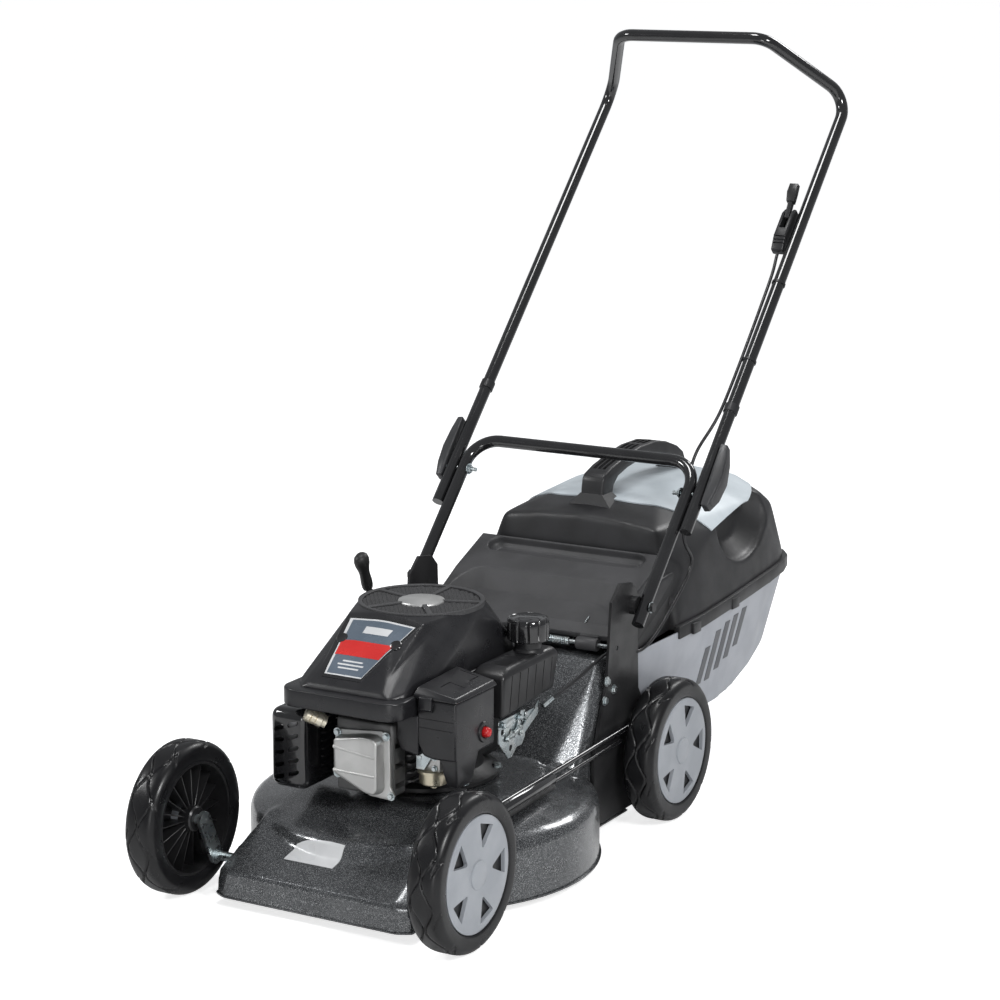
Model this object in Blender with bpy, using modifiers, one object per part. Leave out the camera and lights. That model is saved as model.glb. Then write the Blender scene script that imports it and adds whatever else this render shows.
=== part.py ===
"""Petrol rotary lawn mower with a grass catcher, built as separate parts.

Metres, +Z up, ground at Z = 0. -Y is the front and +X is the operator's left.
"""
import math

import bmesh
import bpy
from mathutils import Matrix, Vector

# ---------------------------------------------------------------- sizes
GAP = 0.0003                 # clearance between pieces that touch
SHEET = 0.0025               # deck steel
WHEEL_R = 0.1015
WHEEL_W = 0.046
WHEEL_STEPS = 32             # the same on tyre, rim and cap, so that their facets line up
WHEELBASE = 0.582
FRONT_OUT = 0.235            # outer face of the front wheels from the middle
REAR_OUT = 0.226             # outer face of the rear wheels from the middle
RIM_R = 0.0757
AXLE_R = 0.0065
CRANK_Y = 0.025              # front crank: hub ahead of its shaft
CRANK_Z = 0.0545             # front crank: hub above its shaft
REAR_CRANK_Y = 0.029
REAR_CRANK_Z = 0.0375
LINK_ARM_Y = 0.066           # link pin behind and above both shafts
LINK_ARM_Z = 0.0875
LINK_X = 0.1745
LINK_R = 0.0035

DECK_R = 0.235               # round cutting chamber
DECK_Y = -0.033              # its middle, which is the blade shaft
DECK_LIP_Z = 0.015
DECK_LIP = 0.0035            # outward turn of the lower edge
DECK_TOP_Z = 0.125
APRON_Y = -0.320             # front edge
APRON_HALF = 0.152
TUNNEL_HALF = 0.158
TUNNEL_Y = 0.250             # rear mouth
TUNNEL_TOP_Z = 0.250
PLATE_T = 0.004              # side plates

TUBE_R = 0.009
TUBE_WALL = 0.0015
LEG_X = 0.184                # lower handle legs
HANDLE_Y = 0.250             # handle pivot
HANDLE_Z = 0.314
HANDLE_ANGLE = math.radians(46.4)
CROSSBAR_S = 0.240           # along the leg, from the pivot
CAM_S = 0.187
UPPER_S = 0.125
KINK_S = 0.913
TOP_HALF = 0.122
TOP_Y = 0.748
TOP_Z = 1.070
BOLT_R = 0.003

COWL_Y = -0.040              # fan middle
COWL_Z = 0.283
COWL_TOP_Z = 0.366
FAN_R = 0.082
HINGE_Y = 0.207              # rear flap
HINGE_Z = 0.262
RIM_Z = 0.236                # catcher rim at its front
RIM_RISE = 0.034             # and how much higher at its rear
CATCH_Y = 0.2625
CATCH_BACK = 0.822
CATCH_HALF = 0.170
CATCH_WALL = 0.003

BLADE_DISC_R = 0.115
BLADE_Z = 0.034
BLADE_PIVOT_R = 0.100
BLADE_LEN = 0.122
BLADE_COUNT = 4

FRONT_Y = -WHEELBASE / 2
REAR_Y = WHEELBASE / 2
SHAFT_F = Vector((0, FRONT_Y + CRANK_Y, WHEEL_R - CRANK_Z))
SHAFT_R = Vector((0, REAR_Y + REAR_CRANK_Y, WHEEL_R - REAR_CRANK_Z))
PIN_F = SHAFT_F + Vector((LINK_X, LINK_ARM_Y, LINK_ARM_Z))
PIN_R = SHAFT_R + Vector((LINK_X, LINK_ARM_Y, LINK_ARM_Z))
PLATE_X = TUNNEL_HALF + 0.0025
UPPER_X = LEG_X + 2 * TUBE_R + 2 * GAP
ALONG = Vector((0, math.cos(HANDLE_ANGLE), math.sin(HANDLE_ANGLE)))
PIVOT = Vector((0, HANDLE_Y, HANDLE_Z))

# ---------------------------------------------------------------- scene
for old in list(bpy.data.objects):
    bpy.data.objects.remove(old, do_unlink=True)
PARTS = bpy.data.collections.new("rotary_mower")
CUTTERS = bpy.data.collections.new("cutters")
bpy.context.scene.collection.children.link(PARTS)
bpy.context.scene.collection.children.link(CUTTERS)
LOOKS = {
    "deck_paint": ((0.09, 0.10, 0.11), 0.6, 0.32),
    "black_steel": ((0.012, 0.012, 0.013), 0.3, 0.25),
    "zinc": ((0.62, 0.66, 0.68), 1.0, 0.3),
    "steel": ((0.5, 0.5, 0.52), 1.0, 0.35),
    "aluminium": ((0.68, 0.68, 0.68), 1.0, 0.4),
    "black_plastic": ((0.02, 0.02, 0.022), 0.0, 0.4),
    "grey_plastic": ((0.50, 0.52, 0.55), 0.0, 0.45),
    "pale_plastic": ((0.70, 0.75, 0.78), 0.0, 0.4),
    "dark_plastic": ((0.06, 0.06, 0.065), 0.0, 0.5),
    "rubber": ((0.015, 0.015, 0.016), 0.0, 0.6),
    "red_rubber": ((0.65, 0.02, 0.02), 0.0, 0.4),
    "brass": ((0.75, 0.62, 0.38), 1.0, 0.35),
    "foam": ((0.1, 0.1, 0.1), 0.0, 0.9),
}


def link(name, mesh, origin, look):
    """Put a mesh given in world positions into the scene as one part."""
    mesh.transform(Matrix.Translation(-Vector(origin)))
    piece = bpy.data.objects.new(name, mesh)
    piece.location = origin
    if look is None:
        piece.display_type = "WIRE"
        piece.hide_render = True
        CUTTERS.objects.link(piece)
        return piece
    mat = bpy.data.materials.new(name + "_" + look)
    mat.use_nodes = True
    colour, metal, rough = LOOKS[look]
    shader = mat.node_tree.nodes["Principled BSDF"]
    shader.inputs["Base Color"].default_value = (*colour, 1)
    shader.inputs["Metallic"].default_value = metal
    shader.inputs["Roughness"].default_value = rough
    mesh.materials.append(mat)
    PARTS.objects.link(piece)
    return piece


def to_mesh(name, bm, smooth=False):
    bmesh.ops.remove_doubles(bm, verts=bm.verts, dist=1e-6)
    bmesh.ops.recalc_face_normals(bm, faces=bm.faces)
    for face in bm.faces:
        face.smooth = smooth
    mesh = bpy.data.meshes.new(name)
    bm.to_mesh(mesh)
    bm.free()
    return mesh


def box(name, low, high, look=None, origin=(0, 0, 0), bevel=0.0):
    low = Vector(low)
    high = Vector(high)
    bm = bmesh.new()
    bmesh.ops.create_cube(bm, size=1)
    size = high - low
    bmesh.ops.scale(bm, vec=size, verts=bm.verts)
    bmesh.ops.translate(bm, vec=(low + high) / 2, verts=bm.verts)
    piece = link(name, to_mesh(name, bm), origin, look)
    if bevel:
        soften(piece, bevel)
    return piece


def soften(piece, width, segments=2):
    mod = piece.modifiers.new("edges", "BEVEL")
    mod.width = width
    mod.segments = segments
    mod.limit_method = "ANGLE"
    mod.angle_limit = math.radians(35)


def add_turned(bm, profile, centre, axis, steps):
    """Turn a closed (radius, along) outline round an axis through centre."""
    axis = Vector(axis).normalized()
    side = axis.orthogonal().normalized()
    centre = Vector(centre)
    ring = [bm.verts.new(centre + side * r + axis * h) for r, h in profile]
    edges = []
    for i, vert in enumerate(ring):
        edges.append(bm.edges.new((vert, ring[(i + 1) % len(ring)])))
    bmesh.ops.spin(bm, geom=ring + edges, cent=centre, axis=axis, dvec=(0, 0, 0),
                   angle=2 * math.pi, steps=steps, use_merge=True)


def turned(name, profile, centre, axis, look=None, origin=None, steps=40):
    bm = bmesh.new()
    add_turned(bm, profile, centre, axis, steps)
    mesh = to_mesh(name, bm)
    mesh.polygons.foreach_set("use_smooth", [True] * len(mesh.polygons))
    mesh.set_sharp_from_angle(angle=math.radians(35))
    place = centre if origin is None else origin
    return link(name, mesh, place, look)


def rod(name, start, end, radius, look=None, origin=None, sides=24):
    start = Vector(start)
    end = Vector(end)
    length = (end - start).length
    bm = bmesh.new()
    turn = (end - start).to_track_quat("Z", "Y").to_matrix().to_4x4()
    bmesh.ops.create_cone(bm, cap_ends=True, segments=sides, radius1=radius,
                          radius2=radius, depth=length,
                          matrix=Matrix.Translation((start + end) / 2) @ turn)
    mesh = to_mesh(name, bm)
    place = start if origin is None else origin
    return link(name, mesh, place, look)


def hull(name, points, look=None, origin=(0, 0, 0)):
    bm = bmesh.new()
    for point in points:
        bm.verts.new(point)
    made = bmesh.ops.convex_hull(bm, input=bm.verts)
    spare = [v for v in made["geom_interior"] if isinstance(v, bmesh.types.BMVert)]
    bmesh.ops.delete(bm, geom=spare, context="VERTS")
    bmesh.ops.dissolve_limit(bm, angle_limit=math.radians(0.5),
                             verts=bm.verts, edges=bm.edges)
    return link(name, to_mesh(name, bm), origin, look)


def plate(name, outline, low, high, axis="X", look=None, origin=(0, 0, 0)):
    """A flat plate: an outline in the two other axes, thick along axis."""
    bm = bmesh.new()
    verts = []
    for a, b in outline:
        spot = (low, a, b) if axis == "X" else (a, b, low)
        verts.append(bm.verts.new(spot))
    face = bm.faces.new(verts)
    push = Vector((high - low, 0, 0)) if axis == "X" else Vector((0, 0, high - low))
    grown = bmesh.ops.extrude_face_region(bm, geom=[face])
    moved = [v for v in grown["geom"] if isinstance(v, bmesh.types.BMVert)]
    bmesh.ops.translate(bm, vec=push, verts=moved)
    return link(name, to_mesh(name, bm), origin, look)


def mirrored(points):
    return list(points) + [(-x, y, z) for x, y, z in points]


def change(piece, other, how):
    mod = piece.modifiers.new(how.lower() + "_" + other.name, "BOOLEAN")
    mod.operation = how
    mod.solver = "EXACT"
    mod.object = other


def cut(piece, other):
    change(piece, other, "DIFFERENCE")


def join(piece, other):
    change(piece, other, "UNION")


def rounded(corners, radius, steps=6):
    """Replace each inner corner of a path by an arc of the given radius."""
    path = [Vector(corners[0])]
    for before, corner, after in zip(corners, corners[1:], corners[2:]):
        corner = Vector(corner)
        back = (Vector(before) - corner).normalized()
        ahead = (Vector(after) - corner).normalized()
        half = back.angle(ahead) / 2
        reach = radius / math.tan(half)
        middle = corner + (back + ahead).normalized() * (radius / math.sin(half))
        first = (corner + back * reach - middle).normalized()
        last = (corner + ahead * reach - middle).normalized()
        for i in range(steps + 1):
            path.append(middle + first.slerp(last, i / steps) * radius)
    path.append(Vector(corners[-1]))
    return path


def tube(name, path, radius, look, origin=(0, 0, 0), wall=0.0, resolution=2):
    curve = bpy.data.curves.new(name + "_path", "CURVE")
    curve.dimensions = "3D"
    curve.bevel_depth = radius
    curve.bevel_resolution = resolution
    curve.use_fill_caps = wall == 0
    spline = curve.splines.new("POLY")
    spline.points.add(len(path) - 1)
    for spot, place in zip(spline.points, path):
        spot.co = (*place, 1)
    holder = bpy.data.objects.new(name + "_path", curve)
    CUTTERS.objects.link(holder)
    graph = bpy.context.evaluated_depsgraph_get()
    mesh = bpy.data.meshes.new_from_object(holder.evaluated_get(graph))
    bpy.data.objects.remove(holder)
    bm = bmesh.new()
    bm.from_mesh(mesh)
    piece = link(name, to_mesh(name, bm, smooth=True), origin, look)
    if wall:
        mod = piece.modifiers.new("wall", "SOLIDIFY")
        mod.thickness = wall
        mod.offset = -1
    return piece


def on_leg(x, s, lift=0.0):
    """A place on a handle leg: s along it from the pivot, lift square to it."""
    return Vector((x, 0, 0)) + PIVOT + ALONG * s + Vector((0, -ALONG.z, ALONG.y)) * lift


# ---------------------------------------------------------------- deck
def deck_round(name, inset, look=None):
    r = DECK_R - inset
    top = DECK_TOP_Z - inset
    low = DECK_LIP_Z - (0.02 if inset else 0)
    foot = [(0, low), (r, low)]
    if not inset:
        foot = [(0, low), (r + DECK_LIP, low), (r + DECK_LIP, low + 0.004), (r, low + 0.004)]
    profile = foot + [(r, 0.082), (r - 0.004, 0.092 - inset / 2),
                      (r - 0.014, 0.099 - inset), (r - 0.065, 0.114 - inset),
                      (r - 0.085, top), (0, top)]
    return turned(name, profile, (0, DECK_Y, 0), (0, 0, 1), look, steps=48)


def deck_apron(name, inset):
    low = DECK_LIP_Z - (0.021 if inset else -0.0006)
    near = [
        (APRON_HALF - inset, APRON_Y + 0.012 + inset, low),
        (APRON_HALF - 0.02 - inset, APRON_Y + inset, low),
        (APRON_HALF - 0.006 - inset, APRON_Y + 0.014 + inset, 0.046 - inset / 2),
        (APRON_HALF - 0.026 - inset, APRON_Y + 0.004 + inset, 0.049 - inset / 2),
        (0.128 - inset, -0.215, 0.104 - inset),
        (0.118 - inset, -0.190, 0.106 - inset),
        (0.118 - inset, -0.120, 0.106 - inset),
        (APRON_HALF - inset, -0.180, low),
        (0.118 - inset, -0.120, low),
    ]
    return hull(name, mirrored(near))


def deck_tunnel(name, inset):
    low = DECK_LIP_Z - (0.022 if inset else -0.0012)
    end = TUNNEL_Y + (0.02 if inset else 0)
    near = [
        (TUNNEL_HALF - inset, 0.10, low),
        (TUNNEL_HALF - inset, end, low),
        (TUNNEL_HALF - inset, end, 0.225),
        (TUNNEL_HALF - 0.018 - inset, end, TUNNEL_TOP_Z - inset),
        (TUNNEL_HALF - inset, 0.190, 0.215 - inset / 2),
        (TUNNEL_HALF - 0.018 - inset, 0.190, TUNNEL_TOP_Z - 0.004 - inset),
        (TUNNEL_HALF - inset, 0.10, 0.112 - inset),
        (TUNNEL_HALF - 0.03 - inset, 0.085, 0.126 - inset),
    ]
    return hull(name, mirrored(near))


deck = deck_round("deck_shell", 0, "deck_paint")
join(deck, deck_apron("cut_apron", 0))
join(deck, deck_tunnel("cut_tunnel", 0))
cut(deck, deck_round("cut_round_inside", SHEET))
cut(deck, deck_apron("cut_apron_inside", SHEET))
cut(deck, deck_tunnel("cut_tunnel_inside", SHEET))
cut(deck, rod("cut_shaft_f", SHAFT_F - Vector((0.2, 0, 0)), SHAFT_F + Vector((0.2, 0, 0)),
              AXLE_R + GAP))
cut(deck, rod("cut_crank_bore", (0, DECK_Y, 0.05), (0, DECK_Y, 0.2), 0.0135))

# side plates, which carry the rear axle and the handle
PLATE_FRONT = DECK_Y + math.sqrt(DECK_R ** 2 - PLATE_X ** 2) + 0.002
PLATE_OUTLINE = [
    (PLATE_FRONT, 0.022), (0.345, 0.022), (0.352, 0.060), (0.340, 0.088), (0.300, 0.150),
    (0.272, 0.190), (0.266, 0.330), (0.250, 0.346), (0.215, 0.352), (0.190, 0.330),
    (0.178, 0.220), (0.156, 0.165), (PLATE_FRONT, 0.118),
]
for side, tag in ((1, "l"), (-1, "r")):
    inner = side * PLATE_X
    outer = side * (PLATE_X + PLATE_T)
    flat = plate("side_plate_" + tag, PLATE_OUTLINE, inner, outer, look="black_steel")
    join(flat, rod("cut_boss_" + tag, (side * (PLATE_X + 0.001), HANDLE_Y, HANDLE_Z),
                   (side * (LEG_X - TUBE_R - GAP), HANDLE_Y, HANDLE_Z), 0.013))
    start = Vector((side * 0.1, SHAFT_R.y, SHAFT_R.z))
    cut(flat, rod("cut_axle_seat_" + tag, start, start + Vector((side * 0.15, 0, 0)),
                  AXLE_R + GAP))
    join(flat, rod("cut_pivot_bolt_" + tag, (side * (PLATE_X + 0.001), HANDLE_Y, HANDLE_Z),
                   (side * (LEG_X + TUBE_R + 0.004), HANDLE_Y, HANDLE_Z), BOLT_R))
    join(flat, rod("cut_pivot_head_" + tag, (side * (LEG_X + TUBE_R + GAP), HANDLE_Y, HANDLE_Z),
                   (side * (LEG_X + TUBE_R + 0.006), HANDLE_Y, HANDLE_Z), 0.007, sides=6))

# ---------------------------------------------------------------- wheels
TYRE = [
    (RIM_R + GAP, -0.002), (RIM_R + GAP, -WHEEL_W + 0.002), (RIM_R + 0.003, -WHEEL_W),
    (WHEEL_R - 0.010, -WHEEL_W), (WHEEL_R - 0.003, -WHEEL_W + 0.005),
    (WHEEL_R, -WHEEL_W + 0.013), (WHEEL_R, -0.013), (WHEEL_R - 0.003, -0.005),
    (WHEEL_R - 0.010, 0), (RIM_R + 0.003, 0),
]
RIM = [
    (AXLE_R + GAP, -0.008), (AXLE_R + GAP, -WHEEL_W + 0.001), (0.017, -WHEEL_W + 0.001),
    (0.017, -0.016), (RIM_R - 0.005, -0.012), (RIM_R - 0.005, -WHEEL_W + 0.003),
    (RIM_R, -WHEEL_W + 0.003), (RIM_R, -0.006), (RIM_R - 0.004, -0.006), (0.020, -0.008),
]
CAP = [
    (0, -0.0065), (0.018, -0.0065), (RIM_R - 0.002, -0.0045), (RIM_R - 0.001, -0.0035),
    (RIM_R - 0.001, -0.001), (RIM_R - 0.004, 0), (0.022, 0.001), (0.018, 0.002), (0, 0.002),
]
for place, out, y in (("front", FRONT_OUT, FRONT_Y), ("rear", REAR_OUT, REAR_Y)):
    for side, tag in ((1, "l"), (-1, "r")):
        key = "_" + place + "_" + tag
        hub = (side * out, y, WHEEL_R)
        way = (side, 0, 0)
        turned("tyre" + key, TYRE, hub, way, "rubber", steps=WHEEL_STEPS)
        turned("rim" + key, RIM, hub, way, "black_plastic", steps=WHEEL_STEPS)
        turned("wheel_cap" + key, CAP, hub, way, "grey_plastic", steps=WHEEL_STEPS)


def crank(name, shaft, hub_out, hub_y, arm_x, arm_t, with_link):
    """A cross shaft with a crank arm and a stub axle at each end."""
    reach = arm_x + arm_t
    piece = rod(name, (-reach, shaft.y, shaft.z), (reach, shaft.y, shaft.z), AXLE_R,
                "zinc", origin=(0, shaft.y, shaft.z))
    rise = Vector((0, hub_y - shaft.y, WHEEL_R - shaft.z))
    for side, tag in ((1, "l"), (-1, "r")):
        root = Vector((side * arm_x, shaft.y, shaft.z))
        arm = hull("cut_arm_" + name + tag, slab(root, root + rise, arm_t * side, 0.012))
        join(piece, arm)
        stub = root + rise
        join(piece, rod("cut_stub_" + name + tag, stub + Vector((side * 0.0005, 0, 0)),
                        (side * (hub_out - 0.012), stub.y, stub.z), AXLE_R))
    if with_link:
        root = Vector((PLATE_X + PLATE_T + 0.001, shaft.y, shaft.z))
        tip = root + Vector((0, LINK_ARM_Y, LINK_ARM_Z))
        join(piece, hull("cut_link_" + name, slab(root, tip, 0.0035, 0.010)))
        join(piece, rod("cut_link_pin_" + name, tip + Vector((0.0005, 0, 0)),
                        tip + Vector((0.0125, 0, 0)), 0.0025))
    return piece


def slab(start, end, thick, radius, sides=16):
    """The corners of a flat bar with round ends, square to X."""
    spots = []
    for middle in (start, end):
        for i in range(sides):
            turn = 2 * math.pi * i / sides
            spot = middle + Vector((0, math.cos(turn), math.sin(turn))) * radius
            spots.append(spot)
            spots.append(spot + Vector((thick, 0, 0)))
    return spots


crank("front_axle", SHAFT_F, FRONT_OUT, FRONT_Y, 0.177, 0.005, True)
crank("rear_axle", SHAFT_R, REAR_OUT, REAR_Y, PLATE_X + PLATE_T + 0.001, 0.0035, True)

# height link on the operator's left
run = (PIN_R - PIN_F).normalized()
bar = rod("height_link", PIN_F + run * 0.005, PIN_R - run * 0.005, LINK_R, "zinc", origin=PIN_F,
          sides=18)
for spot, key in ((PIN_F, "f"), (PIN_R, "r")):
    join(bar, rod("cut_eye_" + key, spot - Vector((0.0033, 0, 0)),
                  spot + Vector((0.0033, 0, 0)), 0.008, sides=20))
for spot, key in ((PIN_F, "f"), (PIN_R, "r")):
    cut(bar, rod("cut_eye_hole_" + key, spot - Vector((0.01, 0, 0)),
                 spot + Vector((0.01, 0, 0)), 0.0025 + GAP, sides=16))
SLEEVE_START = 0.078
SLEEVE_LEN = 0.125
turned("height_sleeve", [(LINK_R + GAP, 0), (0.0072, 0), (0.0072, SLEEVE_LEN),
                         (LINK_R + GAP, SLEEVE_LEN)],
       PIN_F + run * SLEEVE_START, run, "black_plastic", origin=PIN_F, steps=20)

# height lever on the operator's right
LEVER_X = -(PLATE_X + PLATE_T + 0.001)
LEVER_Y = 0.160
LEVER_Z = 0.135
KNOB_Z = 0.350
LEVER_LEAN = 0.070
stem = hull("height_lever", slab(Vector((LEVER_X, LEVER_Y, LEVER_Z)),
                                 Vector((LEVER_X, LEVER_Y - LEVER_LEAN + 0.004, 0.322)),
                                 -0.004, 0.008),
            "black_steel", origin=(LEVER_X, LEVER_Y, LEVER_Z))
cut(stem, rod("cut_lever_hole", (LEVER_X + 0.01, LEVER_Y, LEVER_Z),
              (LEVER_X - 0.01, LEVER_Y, LEVER_Z), 0.004 + GAP))
join(bpy.data.objects["side_plate_r"],
     turned("cut_lever_bolt", [(0, 0.003), (0.004, 0.003), (0.004, -0.0045), (0.007, -0.0045),
                               (0.007, -0.008), (0, -0.008)],
            (LEVER_X, LEVER_Y, LEVER_Z), (1, 0, 0), steps=20))
knob_way = Vector((0, -LEVER_LEAN, 0.322 - LEVER_Z)).normalized()
turned("lever_knob", [(0, 0), (0.008, 0), (0.0095, 0.012), (0.0085, 0.024), (0.0115, 0.036),
                      (0.0120, 0.044), (0.009, 0.053), (0, 0.056)],
       Vector((LEVER_X - 0.002, LEVER_Y - LEVER_LEAN, 0.3315)), knob_way, "rubber",
       origin=(LEVER_X, LEVER_Y, LEVER_Z), steps=20)

# ---------------------------------------------------------------- engine
block = box("engine_block", (-0.064, -0.125, DECK_TOP_Z + GAP), (0.070, 0.085, 0.2610),
            "aluminium", bevel=0.006)
cut(block, rod("cut_crank_hole", (0, DECK_Y, 0.1), (0, DECK_Y, 0.3), 0.0118))
join(block, box("cut_cylinder", (-0.052, -0.172, 0.148), (0.052, -0.120, 0.250)))
box("cylinder_head", (-0.036, -0.205, 0.144), (0.056, -0.172 - GAP, 0.246), "aluminium",
    bevel=0.003)
box("rocker_cover", (-0.028, -0.238, 0.150), (0.042, -0.205 - GAP, 0.230), "aluminium",
    bevel=0.008)
box("muffler", (-0.126, -0.205, 0.146), (-0.074, -0.100, 0.236), "steel", bevel=0.008)
guard = box("muffler_guard", (-0.134, -0.222, 0.138), (-0.066, -0.105, 0.254), "black_steel",
            bevel=0.006)
cut(guard, box("cut_guard_inside", (-0.1325, -0.2205, 0.1395), (-0.0675, -0.08, 0.2525), bevel=0.0045))
for i in range(5):
    low = 0.150 + i * 0.020
    cut(guard, box("cut_guard_slot_%d" % i, (-0.124, -0.24, low), (-0.076, -0.21, low + 0.009)))
    cut(guard, box("cut_guard_side_%d" % i, (-0.14, -0.205, low), (-0.13, -0.125, low + 0.009)))
PLUG_AT = Vector((-0.046, -0.2115, 0.236))
PLUG_WAY = Vector((0.62, 0.40, -0.35)).normalized()
turned("spark_plug", [(0, -0.022), (0.005, -0.022), (0.006, -0.008), (0.010, -0.007),
                      (0.010, 0.003), (0.006, 0.004), (0.006, 0.006), (0, 0.006)],
       PLUG_AT, PLUG_WAY, "brass", steps=20)


def cowl_form(name, inset, look=None):
    low = COWL_Z - (0.02 if inset else 0)
    points = []
    for x, y, z in ((0.080, -0.212, low), (0.066, -0.230, low), (0.086, -0.160, low),
                    (0.086, 0.060, low), (0.066, 0.090, low), (0.070, -0.205, COWL_Z + 0.022),
                    (0.056, -0.220, COWL_Z + 0.022), (0.080, 0.040, COWL_Z + 0.030)):
        points.append((x - inset, y + (inset if y < 0 else -inset), z - inset))
        points.append((-x + inset, y + (inset if y < 0 else -inset), z - inset))
    for radius, z in ((FAN_R + 0.012, COWL_TOP_Z - 0.007), (FAN_R + 0.008, COWL_TOP_Z - 0.002),
                      (FAN_R + 0.003, COWL_TOP_Z)):
        for i in range(40):
            turn = 2 * math.pi * i / 40
            points.append(((radius - inset) * math.cos(turn) * 0.93,
                           COWL_Y + (radius - inset) * math.sin(turn), z - inset))
    return hull(name, points, look)


cowl = cowl_form("engine_cowl", 0, "black_plastic")
cut(cowl, cowl_form("cut_cowl_inside", 0.0025))
cut(cowl, rod("cut_cowl_fan", (0, COWL_Y, 0.33), (0, COWL_Y, 0.40), FAN_R - 0.008, sides=48))
grille = turned("fan_grille", [(0, 0), (FAN_R - 0.0083, 0), (FAN_R - 0.0083, 0.0022), (0, 0.003)],
                (0, COWL_Y, COWL_TOP_Z - 0.0026), (0, 0, 1), "black_plastic", steps=48)
for i in range(12):
    turn = 2 * math.pi * i / 12
    way = Vector((math.cos(turn), math.sin(turn), 0))
    side = Vector((-way.y, way.x, 0))
    middle = Vector((0, COWL_Y, COWL_TOP_Z))
    corners = []
    for reach, width in ((0.034, 0.005), (0.068, 0.012)):
        for sign in (-1, 1):
            for lift in (-0.02, 0.02):
                corners.append(middle + way * reach + side * (width * sign)
                               + Vector((0, 0, lift)))
    cut(grille, hull("cut_grille_%02d" % i, corners))
base = box("cowl_base", (-0.092, -0.247, 0.2625), (0.088, 0.096, COWL_Z - GAP),
           "black_plastic", bevel=0.005)
cut(base, box("cut_base_inside", (-0.084, -0.239, 0.25), (0.080, 0.088, 0.3)))
fan = turned("flywheel_fan", [(0.0118, 0.295), (0.0118, 0.335), (0.030, 0.335), (0.034, 0.305),
                              (0.066, 0.303), (0.066, 0.297), (0.040, 0.290), (0.0118, 0.290)],
             (0, DECK_Y, 0), (0, 0, 1), "aluminium", steps=32)
for i in range(12):
    turn = 2 * math.pi * i / 12
    way = Vector((math.cos(turn), math.sin(turn), 0))
    side = Vector((-way.y, way.x, 0)) * 0.0012
    middle = Vector((0, DECK_Y, 0))
    corners = []
    for reach, low, high in ((0.030, 0.300, 0.332), (0.064, 0.300, 0.328)):
        for sign in (-1, 1):
            corners.append(middle + way * reach + side * sign + Vector((0, 0, low)))
            corners.append(middle + way * reach + side * sign + Vector((0, 0, high)))
    join(fan, hull("cut_fin_%02d" % i, corners))
turned("crankshaft", [(0, BLADE_Z + 0.004), (0.0125, BLADE_Z + 0.004), (0.0125, 0.122),
                      (0.0115, 0.1225), (0.0115, 0.345), (0, 0.345)],
       (0, DECK_Y, 0), (0, 0, 1), "steel", steps=24)

# cutter
disc = turned("blade_disc", [(0, BLADE_Z), (BLADE_DISC_R, BLADE_Z), (BLADE_DISC_R, BLADE_Z + 0.003),
                             (0.04, BLADE_Z + 0.0037), (0, BLADE_Z + 0.0037)],
              (0, DECK_Y, 0), (0, 0, 1), "steel", steps=48)
join(disc, rod("cut_blade_bolt", (0, DECK_Y, BLADE_Z + 0.001), (0, DECK_Y, BLADE_Z - 0.008),
               0.010, sides=6))
for i in range(BLADE_COUNT):
    turn = 2 * math.pi * (i + 0.5) / BLADE_COUNT
    way = Vector((math.cos(turn), math.sin(turn), 0))
    side = Vector((-way.y, way.x, 0))
    root = Vector((0, DECK_Y, BLADE_Z)) + way * BLADE_PIVOT_R
    corners = []
    for reach, wide in ((-0.014, 0.010), (-0.006, 0.017), (BLADE_LEN - 0.012, 0.017),
                        (BLADE_LEN, 0.012)):
        for sign in (-1, 1):
            for depth in (-GAP, -0.0028):
                corners.append(root + way * reach + side * wide * sign
                               + Vector((0, 0, depth)))
    knife = hull("swing_blade_%d" % (i + 1), corners, "steel", origin=root)
    cut(knife, rod("cut_knife_%d" % i, root - Vector((0, 0, 0.01)), root + Vector((0, 0, 0.01)),
                   0.004 + GAP))
    join(disc, rod("cut_stud_%d" % i, root + Vector((0, 0, 0.001)), root - Vector((0, 0, 0.0055)),
                   0.004, sides=16))

# air cleaner, carburettor, tank
tub = hull("air_filter_box", [(x, y, z) for x in (0.0895, 0.147) for y in (-0.198, -0.100)
                              for z in (0.204, 0.282)], "black_plastic")
join(tub, box("cut_tub_foot", (0.112, -0.197, 0.166), (0.146, -0.140, 0.21)))
cut(tub, box("cut_tub_inside", (0.092, -0.1955, 0.2065), (0.1445, -0.1025, 0.30)))
BULB_AT = Vector((0.147, -0.128, 0.228))
cut(tub, rod("cut_bulb_seat", BULB_AT - Vector((0.01, 0, 0)), BULB_AT + Vector((0.01, 0, 0)),
             0.0075 + GAP))
hull("air_filter_lid", [(0.0885, -0.2, 0.2823), (0.1485, -0.2, 0.2823), (0.0885, -0.098, 0.2823),
                        (0.1485, -0.098, 0.2823), (0.0905, -0.198, 0.299), (0.1465, -0.198, 0.289),
                        (0.0905, -0.100, 0.299), (0.1465, -0.100, 0.289)], "black_plastic",
     origin=(0.1175, -0.0975, 0.2823))
box("air_filter_element", (0.094, -0.193, 0.2085), (0.135, -0.105, 0.2800), "foam")
turned("primer_bulb", [(0, -0.0005), (0.0070, -0.0005), (0.0070, 0.001), (0.0068, 0.008),
                       (0.004, 0.0115), (0, 0.0125)],
       BULB_AT - Vector((0.002, 0, 0)), (1, 0, 0), "red_rubber", steps=24)
carb = box("carburettor", (0.0705, -0.172, 0.176), (0.109, -0.142, 0.2035), "aluminium",
           bevel=0.003)
join(carb, rod("cut_bowl", (0.089, -0.157, 0.180), (0.089, -0.157, 0.158), 0.0125))
join(carb, rod("cut_bowl_bolt", (0.089, -0.157, 0.165), (0.089, -0.157, 0.152), 0.004, sides=6))
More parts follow.
